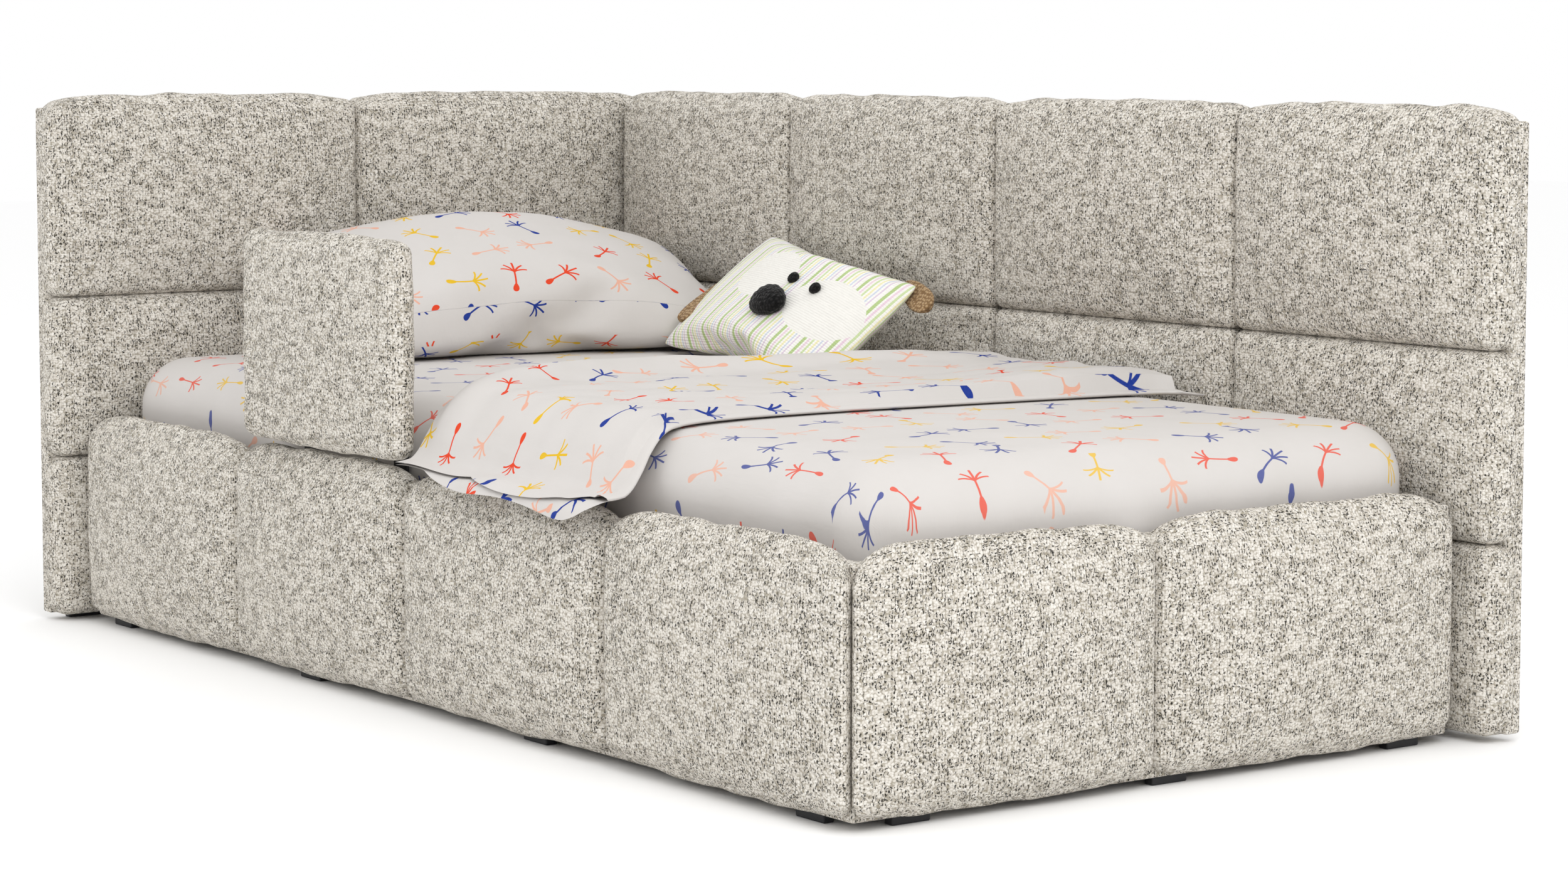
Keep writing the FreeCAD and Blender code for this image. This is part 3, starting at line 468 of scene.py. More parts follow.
def grid_lines(low, high, radius, step):
    """Positions across one side of a box: close together in the rounded zones, even between them."""
    turn = np.radians(np.linspace(0, 45, 7))
    near = low + radius - radius * np.tan(turn[::-1])
    far = high - radius + radius * np.tan(turn)
    count = max(2, int(round((high - low - 2 * radius) / step)))
    middle = np.linspace(low + radius, high - radius, count + 1)[1:-1]
    return np.concatenate([near, middle, far])


class BoxGrid:
    """A box's surface cut into a grid, its faces pointing out. cells holds each point's place on the grid."""

    def __init__(self, low, high, radius, step):
        lines = [grid_lines(low[k], high[k], radius, step) for k in range(3)]
        self.sizes = [len(line) for line in lines]
        self.sides = []
        quads = []
        for axis in range(3):
            a, b = [k for k in range(3) if k != axis]
            for end in (0, self.sizes[axis] - 1):
                i, j = np.meshgrid(np.arange(self.sizes[a] - 1), np.arange(self.sizes[b] - 1), indexing="ij")
                corners = []
                for step_a, step_b in ((0, 0), (1, 0), (1, 1), (0, 1)):
                    index = np.zeros((3, i.size), int)
                    index[axis] = end
                    index[a] = (i + step_a).ravel()
                    index[b] = (j + step_b).ravel()
                    corners.append((index[0] * self.sizes[1] + index[1]) * self.sizes[2] + index[2])
                quad = np.stack(corners, axis=1)
                outward = (end > 0) == (axis != 1)
                quads.append(quad if outward else quad[:, ::-1])
                self.sides.append((axis, end, len(quad)))
        every = np.concatenate(quads)
        used, places = np.unique(every.ravel(), return_inverse=True)
        self.faces = places.reshape(-1, 4)
        k = used % self.sizes[2]
        j = (used // self.sizes[2]) % self.sizes[1]
        i = used // (self.sizes[1] * self.sizes[2])
        self.cells = np.stack([i, j, k], axis=1)
        self.points = np.stack([lines[0][i], lines[1][j], lines[2][k]], axis=1)

    def uvs(self, points):
        """UVs in metres measured along the final surface, so that the weave isn't stretched anywhere."""
        lookup = np.full(self.sizes, -1)
        lookup[tuple(self.cells.T)] = np.arange(len(self.cells))
        result = np.zeros((len(self.faces), 4, 2))
        begin = 0
        for axis, end, count in self.sides:
            rows = slice(begin, begin + count)
            begin += count
            for place, direction in enumerate(k for k in range(3) if k != axis):
                index = [size // 2 for size in self.sizes]
                index[axis] = end
                index[direction] = np.arange(self.sizes[direction])
                line = points[lookup[tuple(index)]]
                run = np.concatenate([[0], np.cumsum(np.linalg.norm(np.diff(line, axis=0), axis=1))])
                middle = len(run) // 2
                run += line[middle, direction] - run[middle]
                result[rows, :, place] = run[self.cells[self.faces[rows]][..., direction]] + 5.0 * axis
        return result.reshape(-1, 2)


def rounded(points, low, high, radius):
    """Moves a box grid's points on to a box with rounded edges, and gives the outward normals."""
    inner = np.clip(points, low + radius, high - radius)
    out = points - inner
    normal = out / np.maximum(np.linalg.norm(out, axis=1, keepdims=True), 1e-9)
    return inner + radius * normal, normal


def swell(t, power):
    """1 in the middle of a side, falling to 0 at its ends; t runs from -1 to 1."""
    return np.clip(1 - np.abs(t) ** power, 0, 1)


def puff(low, high, radius, crown, step=0.009, seed=1, pucker=0.0012, lumps=0.0011):
    """A padded block: a rounded box with some sides crowned. crown gives, for a side such as "-y", its rise
    in metres and how squarely it falls away along its two directions."""
    low, high = np.array(low, float), np.array(high, float)
    base_low, base_high = low.copy(), high.copy()
    for side, (rise, _, _) in crown.items():
        axis = "xyz".index(side[1])
        if side[0] == "-":
            base_low[axis] += rise
        else:
            base_high[axis] -= rise
    grid = BoxGrid(base_low, base_high, radius, step)
    points, normal = rounded(grid.points, base_low, base_high, radius)
    middle, half = (base_low + base_high) / 2, (base_high - base_low) / 2
    unit = (points - middle) / half
    moved = points.copy()
    for side, (rise, first, second) in crown.items():
        axis = "xyz".index(side[1])
        sign = -1 if side[0] == "-" else 1
        a, b = [k for k in range(3) if k != axis]
        facing = np.clip(normal[:, axis] * sign, 0, 1) ** 0.5
        dome = swell(unit[:, a], first) * swell(unit[:, b], second)
        moved[:, axis] += sign * rise * dome * facing
        edge = np.minimum((1 - np.abs(unit[:, a])) * half[a], (1 - np.abs(unit[:, b])) * half[b])
        near = np.exp(-((edge - 0.022) / 0.018) ** 2) * facing
        moved[:, axis] += sign * pucker * near * waves(points, 0.06, seed + 5)
        moved[:, axis] += sign * lumps * facing * np.clip(edge / 0.05, 0, 1) * waves(points, 0.14, seed)
    return grid, moved, normal


def cad_box(node):
    low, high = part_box(node)
    return np.array(low), np.array(high)


# ---------------------------------------------------------------- upholstered blocks

FRONT_CROWN = 0.021
PAD_ROUND = 0.014
# How squarely a pad's face falls away towards its seams, and a top edge towards its two long sides.
SOFT = 2.8
SQUARE = 8.0
HALF_ROUND = 2.1


def padded_block(node, low, high, crown, radius=PAD_ROUND, body="frame", shear=None, step=0.009):
    """One upholstered block in the place of its CAD node."""
    seed = sum(ord(letter) * (place + 3) for place, letter in enumerate(node))
    grid, points, _ = puff(low, high, radius, crown, step=step, seed=seed)
    if shear:
        points = shear(points)
    block = new_object(node + "_cushion", points, grid.faces, BOUCLE, grid.uvs(points))
    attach(block, body)
    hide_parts(node)
    return block


# The pads end just inside the plain cloth on the panels' backs.
BACK_LAP = 0.003
panel_back = cad_box("back_panel_rear_cover")[1][1] - BACK_LAP
panel_left = cad_box("headboard_rear_cover")[0][0] + BACK_LAP
HEAD_FACE = cad_box("headboard_pad_1_top")[1][0]
BACK_FACE = cad_box("back_pad_1_top")[0][1]
FOOT_FACE = cad_box("foot_rail_pad_2")[1][0]
FRONT_FACE = cad_box("front_rail_pad_1")[0][1]

ROWS = ("bottom", "middle", "top")
SEAM = 0.0006
TOP_RISE = 0.012
END_RISE = 0.008

for column in range(1, 5):
    for row in ROWS:
        node = "back_pad_%d_%s" % (column, row)
        low, high = cad_box(node)
        low[0] -= SEAM
        high[0] += SEAM if column < 4 else 0.0
        high[1] = panel_back
        high[2] += SEAM if row != "top" else 0.0
        crown = {"-y": (FRONT_CROWN, SOFT, SOFT)}
        if row == "top":
            crown["+z"] = (TOP_RISE, SQUARE, HALF_ROUND)
        if column == 4:
            crown["+x"] = (END_RISE, HALF_ROUND, SQUARE)
        padded_block(node, low, high, crown)

for column in (1, 2):
    for row in ROWS:
        node = "headboard_pad_%d_%s" % (column, row)
        low, high = cad_box(node)
        low[0] = panel_left
        low[1] -= SEAM if column == 2 else 0.0
        high[1] += SEAM if column == 1 else 0.0
        high[2] += SEAM if row != "top" else 0.0
        crown = {"+x": (FRONT_CROWN, SOFT, SOFT)}
        if row == "top":
            crown["+z"] = (TOP_RISE, HALF_ROUND, SQUARE)
        if column == 1:
            crown["-y"] = (END_RISE, HALF_ROUND, SQUARE)
        padded_block(node, low, high, crown)

RAIL_CROWN = 0.018
RAIL_TOP = 0.024
RAIL_BOTTOM = 0.009
RAIL_ROUND = 0.018
for column in range(1, 5):
    node = "front_rail_pad_%d" % column
    low, high = cad_box(node)
    low[0] -= SEAM
    high[0] += SEAM
    shear = None
    if column == 4:
        high[0] = FOOT_FACE

        def shear(points, start=low[0], end=high[0], face=low[1]):
            moved = points.copy()
            depth = points[:, 1] - face
            moved[:, 0] = start + (points[:, 0] - start) * (end - start - depth) / (end - start)
            return moved
    padded_block(node, low, high, {"-y": (RAIL_CROWN, SOFT, SOFT), "+z": (RAIL_TOP, SQUARE, HALF_ROUND),
                                  "-z": (RAIL_BOTTOM, SOFT, HALF_ROUND)}, radius=RAIL_ROUND, shear=shear)

for column in (1, 2):
    node = "foot_rail_pad_%d" % column
    low, high = cad_box(node)
    low[1] -= SEAM
    high[1] += SEAM if column == 1 else 0.0
    shear = None
    if column == 1:
        low[1] = FRONT_FACE
        high[0] = FOOT_FACE

        def shear(points, start=low[1], end=high[1], face=high[0]):
            moved = points.copy()
            depth = face - points[:, 0]
            moved[:, 1] = end - (end - points[:, 1]) * (end - start - depth) / (end - start)
            return moved
    padded_block(node, low, high, {"+x": (RAIL_CROWN, SOFT, SOFT), "+z": (RAIL_TOP, HALF_ROUND, SQUARE),
                                  "-z": (RAIL_BOTTOM, HALF_ROUND, SOFT)}, radius=RAIL_ROUND, shear=shear)

low, high = cad_box("guard_pad")
# The photo's gap between the guard and the rail is a little narrower than the CAD's.
low[2] -= 0.0055
GUARD_CROWN = (0.009, SOFT, SOFT)
GUARD_EDGE = (0.004, SOFT, HALF_ROUND)
padded_block("guard_pad", low, high, {
    "-y": GUARD_CROWN, "+y": GUARD_CROWN, "+z": GUARD_EDGE, "-z": GUARD_EDGE, "-x": GUARD_EDGE,
    "+x": GUARD_EDGE}, radius=0.0168, body="guard", step=0.007)

SLEEVE = 0.0045
CLOTH_CLEAR = 0.009


def wrapped_core(name, low, high, nodes=()):
    """The tweed drawn tight round a panel's board: it is what shows at the bottom of the seams."""
    grid, points, _ = puff(low, high, 0.004, {}, step=0.02)
    cover = new_object(name, points, grid.faces, BOUCLE, grid.uvs(points))
    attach(cover, "frame")
    for node in nodes:
        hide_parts(node)


for panel, cover, side in (("back_panel_board", "back_panel_rear_cover", "+y"),
                           ("headboard_board", "headboard_rear_cover", "-x")):
    low, high = cad_box(panel)
    low, high = low - SLEEVE, high + SLEEVE
    low[2] = max(low[2], CLOTH_CLEAR)
    axis = "xyz".index(side[1])
    if side[0] == "+":
        high[axis] = cad_box(cover)[1][axis]
    else:
        low[axis] = cad_box(cover)[0][axis]
    wrapped_core(cover + "_cloth", low, high, [cover])

for board in ("front_rail_board", "foot_rail_board"):
    low, high = cad_box(board)
    low, high = low - SLEEVE, high + SLEEVE
    low[2] = max(low[2], CLOTH_CLEAR)
    wrapped_core(board + "_cloth", low, high)

# ---------------------------------------------------------------- mattress and fitted sheet


SHEET_ROUND = 0.066


def mattress():
    low, high = cad_box("mattress")
    inset = np.array((0.005, 0.005, 0.0))
    low, high = low + inset, high - (0.005, 0.005, 0.005)
    grid, points, _ = puff(low, high, SHEET_ROUND, {}, step=0.02)
    block = new_object("mattress_core", points, grid.faces, ticking(), grid.uvs(points))
    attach(block, "mattress")
    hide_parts("mattress")


def fitted_sheet():
    """The printed sheet, drawn over the mattress and tucked under its edge, with small gathers low down."""
    low, high = cad_box("fitted_sheet")
    low[2] -= 0.001
    high[2] -= 0.0016
    tall = high[2] - low[2]
    grid = BoxGrid(low, high, SHEET_ROUND, 0.011)
    faces = grid.faces
    points, normals = rounded(grid.points, low, high, SHEET_ROUND)
    middle, half = (low + high) / 2, (high - low) / 2
    unit = (points - middle) / half
    moved = points.copy()
    top = np.clip(normals[:, 2], 0, 1)
    moved[:, 2] += 0.0012 * top * swell(unit[:, 0], 3) * swell(unit[:, 1], 3)
    moved[:, 2] += 0.0003 * top * waves(points, 0.3, 21) + 0.0001 * top * waves(points, 0.09, 22)
    wall = np.sqrt(np.clip(1 - normals[:, 2] ** 2, 0, 1))
    lower = np.clip((high[2] - points[:, 2]) / tall, 0, 1)
    around = np.arctan2(points[:, 1], points[:, 0] * 0.45)
    gather = np.sin(around * 61 + 3 * np.sin(around * 7)) * 0.6 + np.sin(around * 97 + 1.3) * 0.4
    push = wall * lower * (0.0009 * gather + 0.0022 * waves(points * (1, 1, 0.25), 0.16, 23))
    moved[:, :2] += normals[:, :2] * push[:, None]
    keep = (normals[faces].mean(axis=1)[:, 2] > -0.6) | (
        np.abs(unit[faces].mean(axis=1)[:, :2]).max(axis=1) > 0.93)
    faces = faces[keep]
    # The cloth lies flat in its own UVs: over the top, then on down each side.
    beyond = np.clip(high[2] - SHEET_ROUND - points[:, 2], 0, tall) + SHEET_ROUND
    over = np.where(top > 0.98, 0.0, beyond)
    flat = points[:, :2].copy()
    for axis in (0, 1):
        outward = np.sign(unit[:, axis]) * np.abs(normals[:, axis]) * wall
        flat[:, axis] = points[:, axis] + outward * over
    uvs = flat[faces].reshape(-1, 2)
    sheet = new_object("fitted_sheet_cloth", moved, faces, SHEET_COTTON, uvs)
    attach(sheet, "mattress")
    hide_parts("fitted_sheet")


mattress()
fitted_sheet()

# ---------------------------------------------------------------- loose bedding


def finished(thing, frames):
    """Runs the object's cloth simulation and keeps the resulting shape; no modifier is left."""
    scene.frame_start, scene.frame_end = 1, frames
    for modifier in thing.modifiers:
        if modifier.type == "CLOTH":
            modifier.point_cache.frame_start = 1
            modifier.point_cache.frame_end = frames
    for frame_number in range(1, frames + 1):
        scene.frame_set(frame_number)
    solved = thing.evaluated_get(bpy.context.evaluated_depsgraph_get())
    points = np.array([v.co[:] for v in solved.data.vertices])
    thing.modifiers.clear()
    scene.frame_set(1)
    return points


def two_layers(name, size, cells, material, round_off):
    """Two flat rectangular cloths sewn together round their edge, lying in XY, with metric UVs."""
    across, up = cells
    u = np.linspace(-0.5, 0.5, across + 1)
    v = np.linspace(-0.5, 0.5, up + 1)
    grid_u, grid_v = np.meshgrid(u, v, indexing="ij")
    x, y = grid_u * size[0], grid_v * size[1]
    # The corners of the cut cloth are rounded a little.
    edge = np.maximum(np.abs(grid_u), np.abs(grid_v)) * 2
    corner = np.clip(np.abs(grid_u) * 2, 0, 1) ** 8 * np.clip(np.abs(grid_v) * 2, 0, 1) ** 8
    x, y = x * (1 - round_off * corner), y * (1 - round_off * corner)
    top = np.stack([x, y, 0.004 * (1 - edge ** 4)], axis=-1).reshape(-1, 3)
    count = len(top)
    inside = np.ones((across + 1, up + 1), bool)
    inside[[0, -1], :] = False
    inside[:, [0, -1]] = False
    lower = np.arange(count)
    lower[inside.ravel()] = count + np.arange(inside.sum())
    below = top[inside.ravel()] * (1, 1, -1)
    points = np.concatenate([top, below])
    index = np.arange(count).reshape(across + 1, up + 1)
    quads = np.stack([index[:-1, :-1], index[1:, :-1], index[1:, 1:], index[:-1, 1:]], axis=-1).reshape(-1, 4)
    flat = np.stack([x, y], axis=-1).reshape(-1, 2)
    faces = np.concatenate([quads, lower[quads][:, ::-1]])
    uvs = np.concatenate([flat[quads], (flat + (3.0, 0.0))[quads][:, ::-1]]).reshape(-1, 2)
    return new_object(name, points, faces, material, uvs)


def inflate(thing, pressure, frames, tension=30.0, bending=0.6, shrink=0.0):
    """Blows a sewn case up with air, so that its sides draw in and its seams pucker."""
    cloth = thing.modifiers.new("Cloth", "CLOTH")
    settings = cloth.settings
    settings.quality = 8
    settings.mass = 0.3
    settings.air_damping = 4
    settings.tension_stiffness = tension
    settings.compression_stiffness = tension
    settings.shear_stiffness = tension * 0.4
    settings.bending_stiffness = bending
    settings.use_pressure = True
    settings.uniform_pressure_force = pressure
    settings.shrink_min = shrink
    settings.effector_weights.gravity = 0.0
    cloth.collision_settings.use_collision = False
    cloth.collision_settings.use_self_collision = False
    return finished(thing, frames)


def smooth_floor(values, level, soft):
    """Keeps values above a level, with a soft bend where they meet it."""
    gap = (values - level) / soft
    return level + soft * np.where(gap > 30, gap, np.log1p(np.exp(np.clip(gap, -40, 30))))


def relaxed(thing, points, rounds):
    """Moves every point towards the middle of its neighbours a few times, which takes out small creases."""
    edges = np.array([edge.vertices[:] for edge in thing.data.edges])
    count = np.bincount(edges.ravel(), minlength=len(points))[:, None]
    for _ in range(rounds):
        total = np.zeros_like(points)
        np.add.at(total, edges[:, 0], points[edges[:, 1]])
        np.add.at(total, edges[:, 1], points[edges[:, 0]])
        points = 0.5 * points + 0.5 * total / count
    return points


def refine(thing, points):
    """Writes the points back and subdivides the mesh once, so that it shades as smooth cloth."""
    thing.data.vertices.foreach_set("co", np.asarray(points, np.float32).ravel())
    thing.data.update()
    finer = thing.modifiers.new("finer", "SUBSURF")
    finer.levels = 1
    finer.render_levels = 1
    solved = thing.evaluated_get(bpy.context.evaluated_depsgraph_get())
    mesh = bpy.data.meshes.new_from_object(solved)
    mesh.name = thing.name
    thing.modifiers.clear()
    thing.data = mesh
    return thing


def turn(points, axis, degrees):
    spin = np.array(Matrix.Rotation(math.radians(degrees), 3, axis))
    return points @ spin.T


SHEET_TOP = cad_box("fitted_sheet")[1][2]
BED_TOP = SHEET_TOP - 0.0001


def fuller(points, power):
    """Rounds out a case that the air has blown lens-shaped: the filling reaches nearer to its seams."""
    tall = np.abs(points[:, 2]).max()
    share = np.abs(points[:, 2]) / tall
    points[:, 2] = np.sign(points[:, 2]) * tall * share ** power
    return points


def centred(points, size):
    """Centres the points on the origin and scales them to a size."""
    low, high = points.min(axis=0), points.max(axis=0)
    return (points - (low + high) / 2) * (np.array(size) / (high - low))


AIR_PRESSURE = 3.2
AIR_FRAMES = 20
PILLOW_SIZE = (0.39, 0.65, 0.158)
PILLOW_LEAN = 17.0
PILLOW_TURN = -9.0
PILLOW_MIDDLE = (-0.655, 0.088, BED_TOP + 0.073)


def pillow():
    """The big pillow: its back edge is propped on the headboard and its underside rests on the mattress."""
    case = two_layers("pillow_case", (0.50, 0.74), (42, 62), PILLOW_COTTON, 0.05)
    points = inflate(case, AIR_PRESSURE, AIR_FRAMES, tension=22.0, bending=1.0, shrink=-0.02)
    points = fuller(centred(points, PILLOW_SIZE), 0.93)
    below = points[:, 2] < 0
    points[:, 2] *= np.where(below, 0.75, 1.2)
    # The filling has slid towards the headboard, and the whole pillow leans on it.
    points[:, 2] *= 1.0 - 0.5 * points[:, 0]
    points = turn(points, "Y", PILLOW_LEAN)
    points = turn(points, "Z", PILLOW_TURN)
    points += PILLOW_MIDDLE
    points[:, 0] = smooth_floor(points[:, 0], HEAD_FACE + 0.006, 0.006)
    points[:, 1] = -smooth_floor(-points[:, 1], -(BACK_FACE - 0.008), 0.004)
    points[:, 2] = smooth_floor(points[:, 2], BED_TOP + 0.002, 0.005) - 0.002
    points = relaxed(case, points, 5)
    points[:, 2] = np.maximum(points[:, 2], BED_TOP)
    refine(case, points)
    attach(case, "pillow")
    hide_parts("pillow")


CUSHION_SIZE = (0.415, 0.225, 0.096)
CUSHION_TILT = 42.0
CUSHION_ROLL = -10.0
CUSHION_MIDDLE = (-0.235, 0.292, 0.433)


def on_cushion(points):
    """Carries points from the cushion's own flat frame (X across, Y up the face, Z out) to its place."""
    points = turn(np.asarray(points, float), "Z", CUSHION_ROLL)
    points = turn(points, "X", CUSHION_TILT)
    return points + CUSHION_MIDDLE


def blob(name, material, middle, size, stitch, lift=0.0012):
    """A small stuffed knitted shape in the cushion's frame: an egg with raised rows of stitches."""
    rings, turns = 40, 56
    theta = np.linspace(0.02, math.pi - 0.02, rings)
    phi = np.linspace(0, 2 * math.pi, turns, endpoint=False)
    grid_t, grid_p = np.meshgrid(theta, phi, indexing="ij")
    wide = np.sin(grid_t) * (1 + 0.05 * np.cos(3 * grid_p))
    unit = np.stack([wide * np.cos(grid_p), wide * np.sin(grid_p), np.cos(grid_t)], axis=-1).reshape(-1, 3)
    around = 2 * math.pi * max(size[:2]) / stitch
    rows = math.pi * max(size[:2]) / (stitch * 0.8)
    knots = np.abs(np.sin(grid_p * round(around) / 2 + grid_t * 3)) * np.abs(np.sin(grid_t * rows))
    points = unit * np.array(size) + unit * (lift * (knots.reshape(-1, 1) - 0.3))
    points = np.concatenate([points, [[0, 0, size[2]], [0, 0, -size[2]]]])
    index = np.arange(rings * turns).reshape(rings, turns)
    after = np.roll(index, -1, axis=1)
    quads = np.stack([index[:-1], index[1:], after[1:], after[:-1]], axis=-1).reshape(-1, 4)
    caps = [(int(index[0, k]), int(after[0, k]), rings * turns) for k in range(turns)]
    caps += [(int(after[-1, k]), int(index[-1, k]), rings * turns + 1) for k in range(turns)]
    return new_object(name, on_cushion(points + middle), list(map(tuple, quads.tolist())) + caps, material)


def ear(name, root, tip, wide, thick, out):
    """A knitted ear: a flat soft flap, narrow where it is sewn on and rounded at its tip."""
    root, tip = np.array(root), np.array(tip)
    run = np.linalg.norm(tip - root)
    ahead = (tip - root) / run
    outward = np.array(out, float) - np.dot(out, ahead) * ahead
    outward /= np.linalg.norm(outward)
    side = np.cross(outward, ahead)
    rings, turns = 46, 40
    t = np.linspace(0, 1, rings)
    profile = np.sqrt(np.clip(1 - np.abs(2 * t - 1) ** 2.6, 0, 1)) * (0.62 + 0.38 * t)
    phi = np.linspace(0, 2 * math.pi, turns, endpoint=False)
    grid_t, grid_p = np.meshgrid(t, phi, indexing="ij")
    shape = np.interp(grid_t, t, profile)
    stitches = 0.0009 * np.abs(np.sin(grid_t * run / 0.0042 * math.pi)) * np.abs(np.sin(grid_p * 9))
    wide_now = wide / 2 * shape + stitches
    thick_now = thick / 2 * np.sqrt(shape) * np.minimum(1, shape * 2) + stitches
    cup = 0.004 * np.cos(grid_p) ** 2
    points = (root + grid_t[..., None] * (tip - root) + (np.cos(grid_p) * wide_now)[..., None] * side
              + (np.sin(grid_p) * thick_now + cup)[..., None] * outward)
    index = np.arange(rings * turns).reshape(rings, turns)
    after = np.roll(index, -1, axis=1)
    quads = np.stack([index[:-1], after[:-1], after[1:], index[1:]], axis=-1).reshape(-1, 4)
    placed = on_cushion(points.reshape(-1, 3))
    placed[:, 1] = np.minimum(placed[:, 1], BACK_FACE - 0.004)
    placed[:, 2] = np.maximum(placed[:, 2], BED_TOP)
    return new_object(name, placed, quads, TAN_KNIT)


def face_cushion():
    """A small striped cushion with a plain knitted animal face, leaning on the back panel."""
    case = two_layers("face_cushion_case", (0.44, 0.27), (46, 28), STRIPES, 0.04)
    points = inflate(case, AIR_PRESSURE, AIR_FRAMES, tension=24.0, bending=0.8)
    flat = fuller(centred(points, CUSHION_SIZE), 0.85)
    points = on_cushion(flat)
    points[:, 1] = -smooth_floor(-points[:, 1], -(BACK_FACE - 0.01), 0.005)
    points[:, 2] = np.maximum(smooth_floor(points[:, 2], BED_TOP + 0.003, 0.005) - 0.002, BED_TOP)
    refine(case, points)
    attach(case, "cushion")
    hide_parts("face_cushion")

    def face_height(x, y):
        near = np.hypot(flat[:, 0] - x, flat[:, 1] - y) < 0.012
        return flat[near, 2].max()

    nose_x, nose_y = 0.034, -0.018
    nose = blob("nose", BLACK_KNIT, (nose_x, nose_y, face_height(nose_x, nose_y) + 0.006),
                (0.033, 0.0245, 0.015), 0.0045)
    parts = [nose]
    for name, x, y in (("eye_left", 0.024, 0.032), ("eye_right", 0.083, 0.03)):
        parts.append(blob(name, BLACK_KNIT, (x, y, face_height(x, y) + 0.001), (0.0085, 0.0085, 0.006), 0.003,
                          lift=0.0007))
    for part in parts:
        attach(part, "cushion")
        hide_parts("cushion_nose")
    for name, root, tip in (("ear_left", (-0.17, 0.03, 0.006), (-0.178, -0.08, 0.016)),
                            ("ear_right", (0.158, 0.112, -0.012), (0.236, 0.092, -0.022))):
        flap = ear(name, root, tip, 0.042, 0.013, (0, 0, 1))
        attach(flap, "cushion")
        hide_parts("cushion_ears")


def smooth_path(points, rounds=3):
    """Cuts the corners of a polyline a few times."""
    path = np.array(points, float)
    for _ in range(rounds):
        near = 0.75 * path[:-1] + 0.25 * path[1:]
        far = 0.25 * path[:-1] + 0.75 * path[1:]
        path = np.concatenate([path[:1], np.stack([near, far], axis=1).reshape(-1, path.shape[1]), path[-1:]])
    return path


def lengths(path):
    return np.concatenate([[0.0], np.cumsum(np.linalg.norm(np.diff(path, axis=0), axis=1))])


# Where the blanket runs, seen from the side: over the mattress, down to the front rail and over it.
BLANKET_RUN = [(0.404, BED_TOP), (0.0, BED_TOP), (-0.325, BED_TOP), (-0.362, BED_TOP - 0.001),
               (-0.39, 0.350), (-0.408, 0.326), (-0.43, 0.303), (-0.452, 0.2975), (-0.470, 0.2945),
               (-0.4795, 0.284), (-0.481, 0.25), (-0.481, 0.235)]
# Its two long edges, as (y, x) from the back panel to the front, the head side and the foot side.
HEAD_EDGE = [(0.41, 0.05), (0.28, 0.02), (0.16, -0.04), (0.04, -0.115), (-0.1, -0.115), (-0.22, -0.08),
             (-0.38, 0.0), (-0.49, 0.02)]
FOOT_EDGE = [(0.41, 0.50), (0.385, 0.43), (0.2, 0.41), (-0.1, 0.378), (-0.28, 0.386), (-0.38, 0.455),
             (-0.45, 0.478), (-0.49, 0.47)]
BLANKET_WIDE = 0.56
FOLD_RADIUS = 0.0085
# The share of the width that is taken up by the fold, on either side of it.
FOLD_SHARE = 0.04
LOWER_RISE = 0.0002


def along(table, y):
    rows = smooth_path(sorted(table), 2)
    return np.interp(y, rows[:, 0], rows[:, 1])


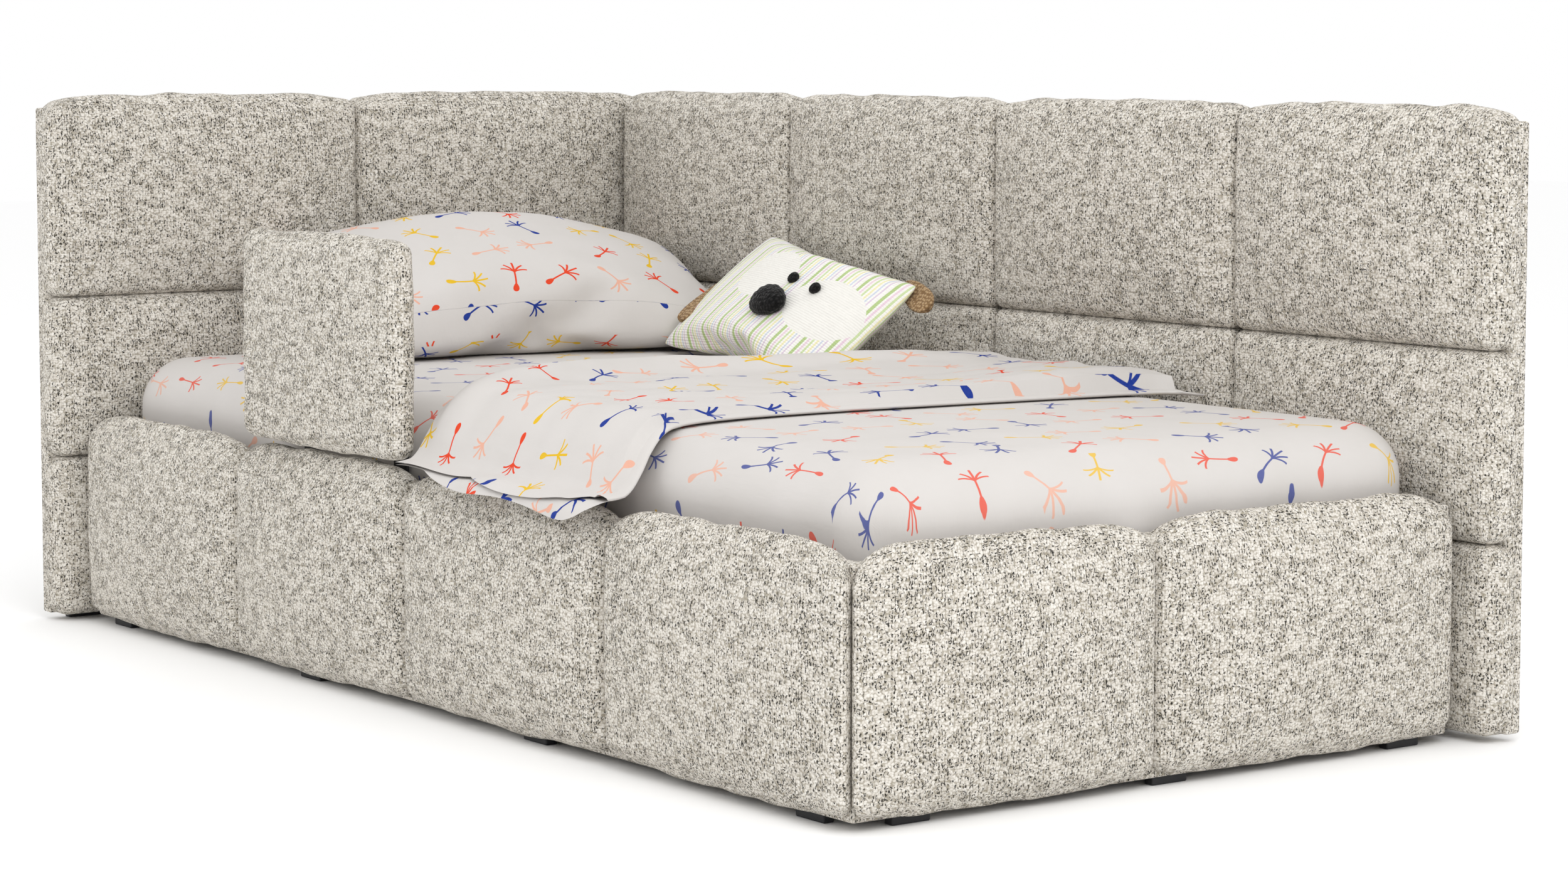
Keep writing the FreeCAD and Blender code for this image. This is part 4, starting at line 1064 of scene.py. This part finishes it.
def blanket():
    """A light quilted blanket folded in two along its foot side; its front end hangs over the rail."""
    run = smooth_path(BLANKET_RUN)
    spent = lengths(run)
    across, along_count = 120, 150
    fold_top = FOLD_RADIUS * 0.8
    t = np.linspace(0.0, 1.0, along_count + 1)
    # The strip across: up to 1 is the lower layer (head to foot), from 1 to 2 the upper one (foot to head).
    bend = 1 + FOLD_SHARE * np.sin(np.linspace(-1.2, 1.2, 9) * 1.2) * 0.9
    w = np.concatenate([np.linspace(0, 1 - FOLD_SHARE, across // 2), bend,
                        np.linspace(1 + FOLD_SHARE, 2, across // 2)])
    w = np.unique(np.round(w, 5))
    grid_t, grid_w = np.meshgrid(t, w, indexing="ij")
    upper = grid_w > 1
    share = np.where(upper, 2 - grid_w, grid_w)
    # The hems: the lower layer reaches a little further down the rail than the upper one.
    front_z = 0.277 + 0.02 * (1 - share) ** 1.5 + 0.02 * np.clip((share - 0.86) / 0.14, 0, 1) ** 2
    front_z = front_z + np.where(upper, 0.010 + 0.004 * np.sin(share * 9.0), 0.003 * np.sin(share * 13.0))
    low_part = run[:, 0] < -0.46
    end = np.interp(-front_z, -run[low_part, 1], spent[low_part])
    start = 0.012 * (1 - share) + np.where(upper, 0.01, 0.0)
    s = start + (end - start) * grid_t
    y = np.interp(s, spent, run[:, 0])
    z = np.interp(s, spent, run[:, 1])
    slope_y = np.interp(s, spent[:-1], np.diff(run[:, 0]) / np.diff(spent))
    slope_z = np.interp(s, spent[:-1], np.diff(run[:, 1]) / np.diff(spent))
    head = along(HEAD_EDGE, y)
    foot = along(FOOT_EDGE, y)
    x = head + (foot - head) * share
    flat = np.stack([x, y, z], axis=-1).reshape(-1, 3)
    long_waves = waves(flat * (1.0, 0.35, 0.35), 0.2, 41).reshape(x.shape)
    cross_waves = waves(flat * (0.8, 0.5, 0.5), 0.12, 42).reshape(x.shape)
    small = waves(flat * (1.0, 0.6, 0.6), 0.05, 43).reshape(x.shape)
    from_head = x - head
    ridge = 0.02 * np.exp(-((from_head - 0.045) / 0.035) ** 2) * np.clip((y + 0.5) / 0.2, 0.25, 1)
    ridge = ridge * (1 - 0.85 * np.clip((y - 0.02) / 0.34, 0, 1))
    body = 0.017 + 0.0035 * long_waves + 0.0022 * cross_waves + 0.0008 * small + ridge
    lip = np.sqrt(np.clip(1 - (1 - np.clip((foot - x) / 0.02, 0, 1)) ** 2, 0, 1))
    hem = 0.35 + 0.65 * np.sqrt(np.clip(from_head / 0.03, 0, 1))
    body += 0.012 * np.exp(-((0.4 - y) / 0.2) ** 2) * np.exp(-((x - 0.26) / 0.26) ** 2)
    thin = 1 - 0.7 * np.clip((-0.34 - y) / 0.12, 0, 1)
    thick = np.maximum(body * hem * thin, 0.008)
    rise = np.where(upper, fold_top + (thick - fold_top) * lip, LOWER_RISE)
    middle_rise = (fold_top + LOWER_RISE) / 2
    # Round the fold itself the layers meet in a half circle.
    turn_angle = np.clip((grid_w - 1) / FOLD_SHARE, -1, 1) * math.pi / 2
    at_fold = np.abs(grid_w - 1) < FOLD_SHARE + 0.0001
    rise = np.where(at_fold, middle_rise + (fold_top - middle_rise) * np.sin(turn_angle), rise)
    x = np.where(at_fold, foot - (foot - head) * FOLD_SHARE * (1 - np.cos(turn_angle)), x)
    outward = np.clip((-0.44 - y) / 0.04, 0, 1)
    flutter = outward * (0.004 + 0.0045 * np.sin(share * 15 + 0.6) + np.where(upper, 0.001, 0.0))
    close = np.clip((grid_t - 0.93) / 0.07, 0, 1) * (upper & ~at_fold)
    rise = rise * (1 - close) + np.minimum(rise, 0.0028) * close + np.clip(flutter, 0, 1)
    y = y + rise * slope_z
    z = z - rise * slope_y
    points = np.stack([x, y, z], axis=-1).reshape(-1, 3)
    index = np.arange(x.size).reshape(x.shape)
    quads = np.stack([index[:-1, :-1], index[:-1, 1:], index[1:, 1:], index[1:, :-1]], axis=-1).reshape(-1, 4)
    uv = np.stack([grid_w * BLANKET_WIDE, s], axis=-1).reshape(-1, 2)
    cloth = new_object("folded_blanket", points, quads, BLANKET_COTTON, uv[quads].reshape(-1, 2))
    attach(cloth, "blanket")
    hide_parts("blanket")


pillow()
face_cushion()
blanket()

# ---------------------------------------------------------------- floor, light and camera


def studio():
    floor_graph = Graph("studio_floor")
    floor_graph.surface(rgb(253, 253, 253), rough=0.9, specular=0.1)
    bpy.ops.mesh.primitive_plane_add(size=28.0, location=(0, 0, 0))
    floor = bpy.context.object
    floor.name = "studio_floor"
    floor.data.materials.append(floor_graph.material)
    world = bpy.data.worlds.new("studio_light")
    scene.world = world
    world.use_nodes = True
    world.node_tree.nodes["Background"].inputs["Color"].default_value = (1.0, 1.0, 1.0, 1.0)
    world.node_tree.nodes["Background"].inputs["Strength"].default_value = 1.0
    for name, spot, target, size, power in (
            ("key", (3.4, -1.2, 3.0), (0.2, 0.0, 0.2), 2.4, 57),
            ("fill", (-1.2, -4.2, 2.6), (0.0, 0.0, 0.3), 3.2, 14),
            ("top", (0.3, 0.1, 4.2), (0.0, 0.0, 0.3), 3.0, 12)):
        light = bpy.data.lights.new(name, "AREA")
        light.shape = "DISK"
        light.size = size
        light.energy = power
        lamp = bpy.data.objects.new(name, light)
        lamp.location = spot
        lamp.rotation_euler = (Vector(target) - Vector(spot)).to_track_quat("-Z", "Y").to_euler()
        scene.collection.objects.link(lamp)
    scene.view_settings.view_transform = "Standard"
    scene.view_settings.look = "None"


def camera():
    eye = bpy.data.cameras.new("camera")
    eye.sensor_width = 36.0
    eye.lens = 85.55
    eye.shift_y = -0.0502
    eye.clip_end = 60.0
    holder = bpy.data.objects.new("camera", eye)
    holder.location = (3.848, -2.674, 0.794)
    holder.rotation_euler = (math.radians(90 - 4.822), 0.0, math.radians(54.04))
    scene.collection.objects.link(holder)
    scene.camera = holder


studio()
camera()
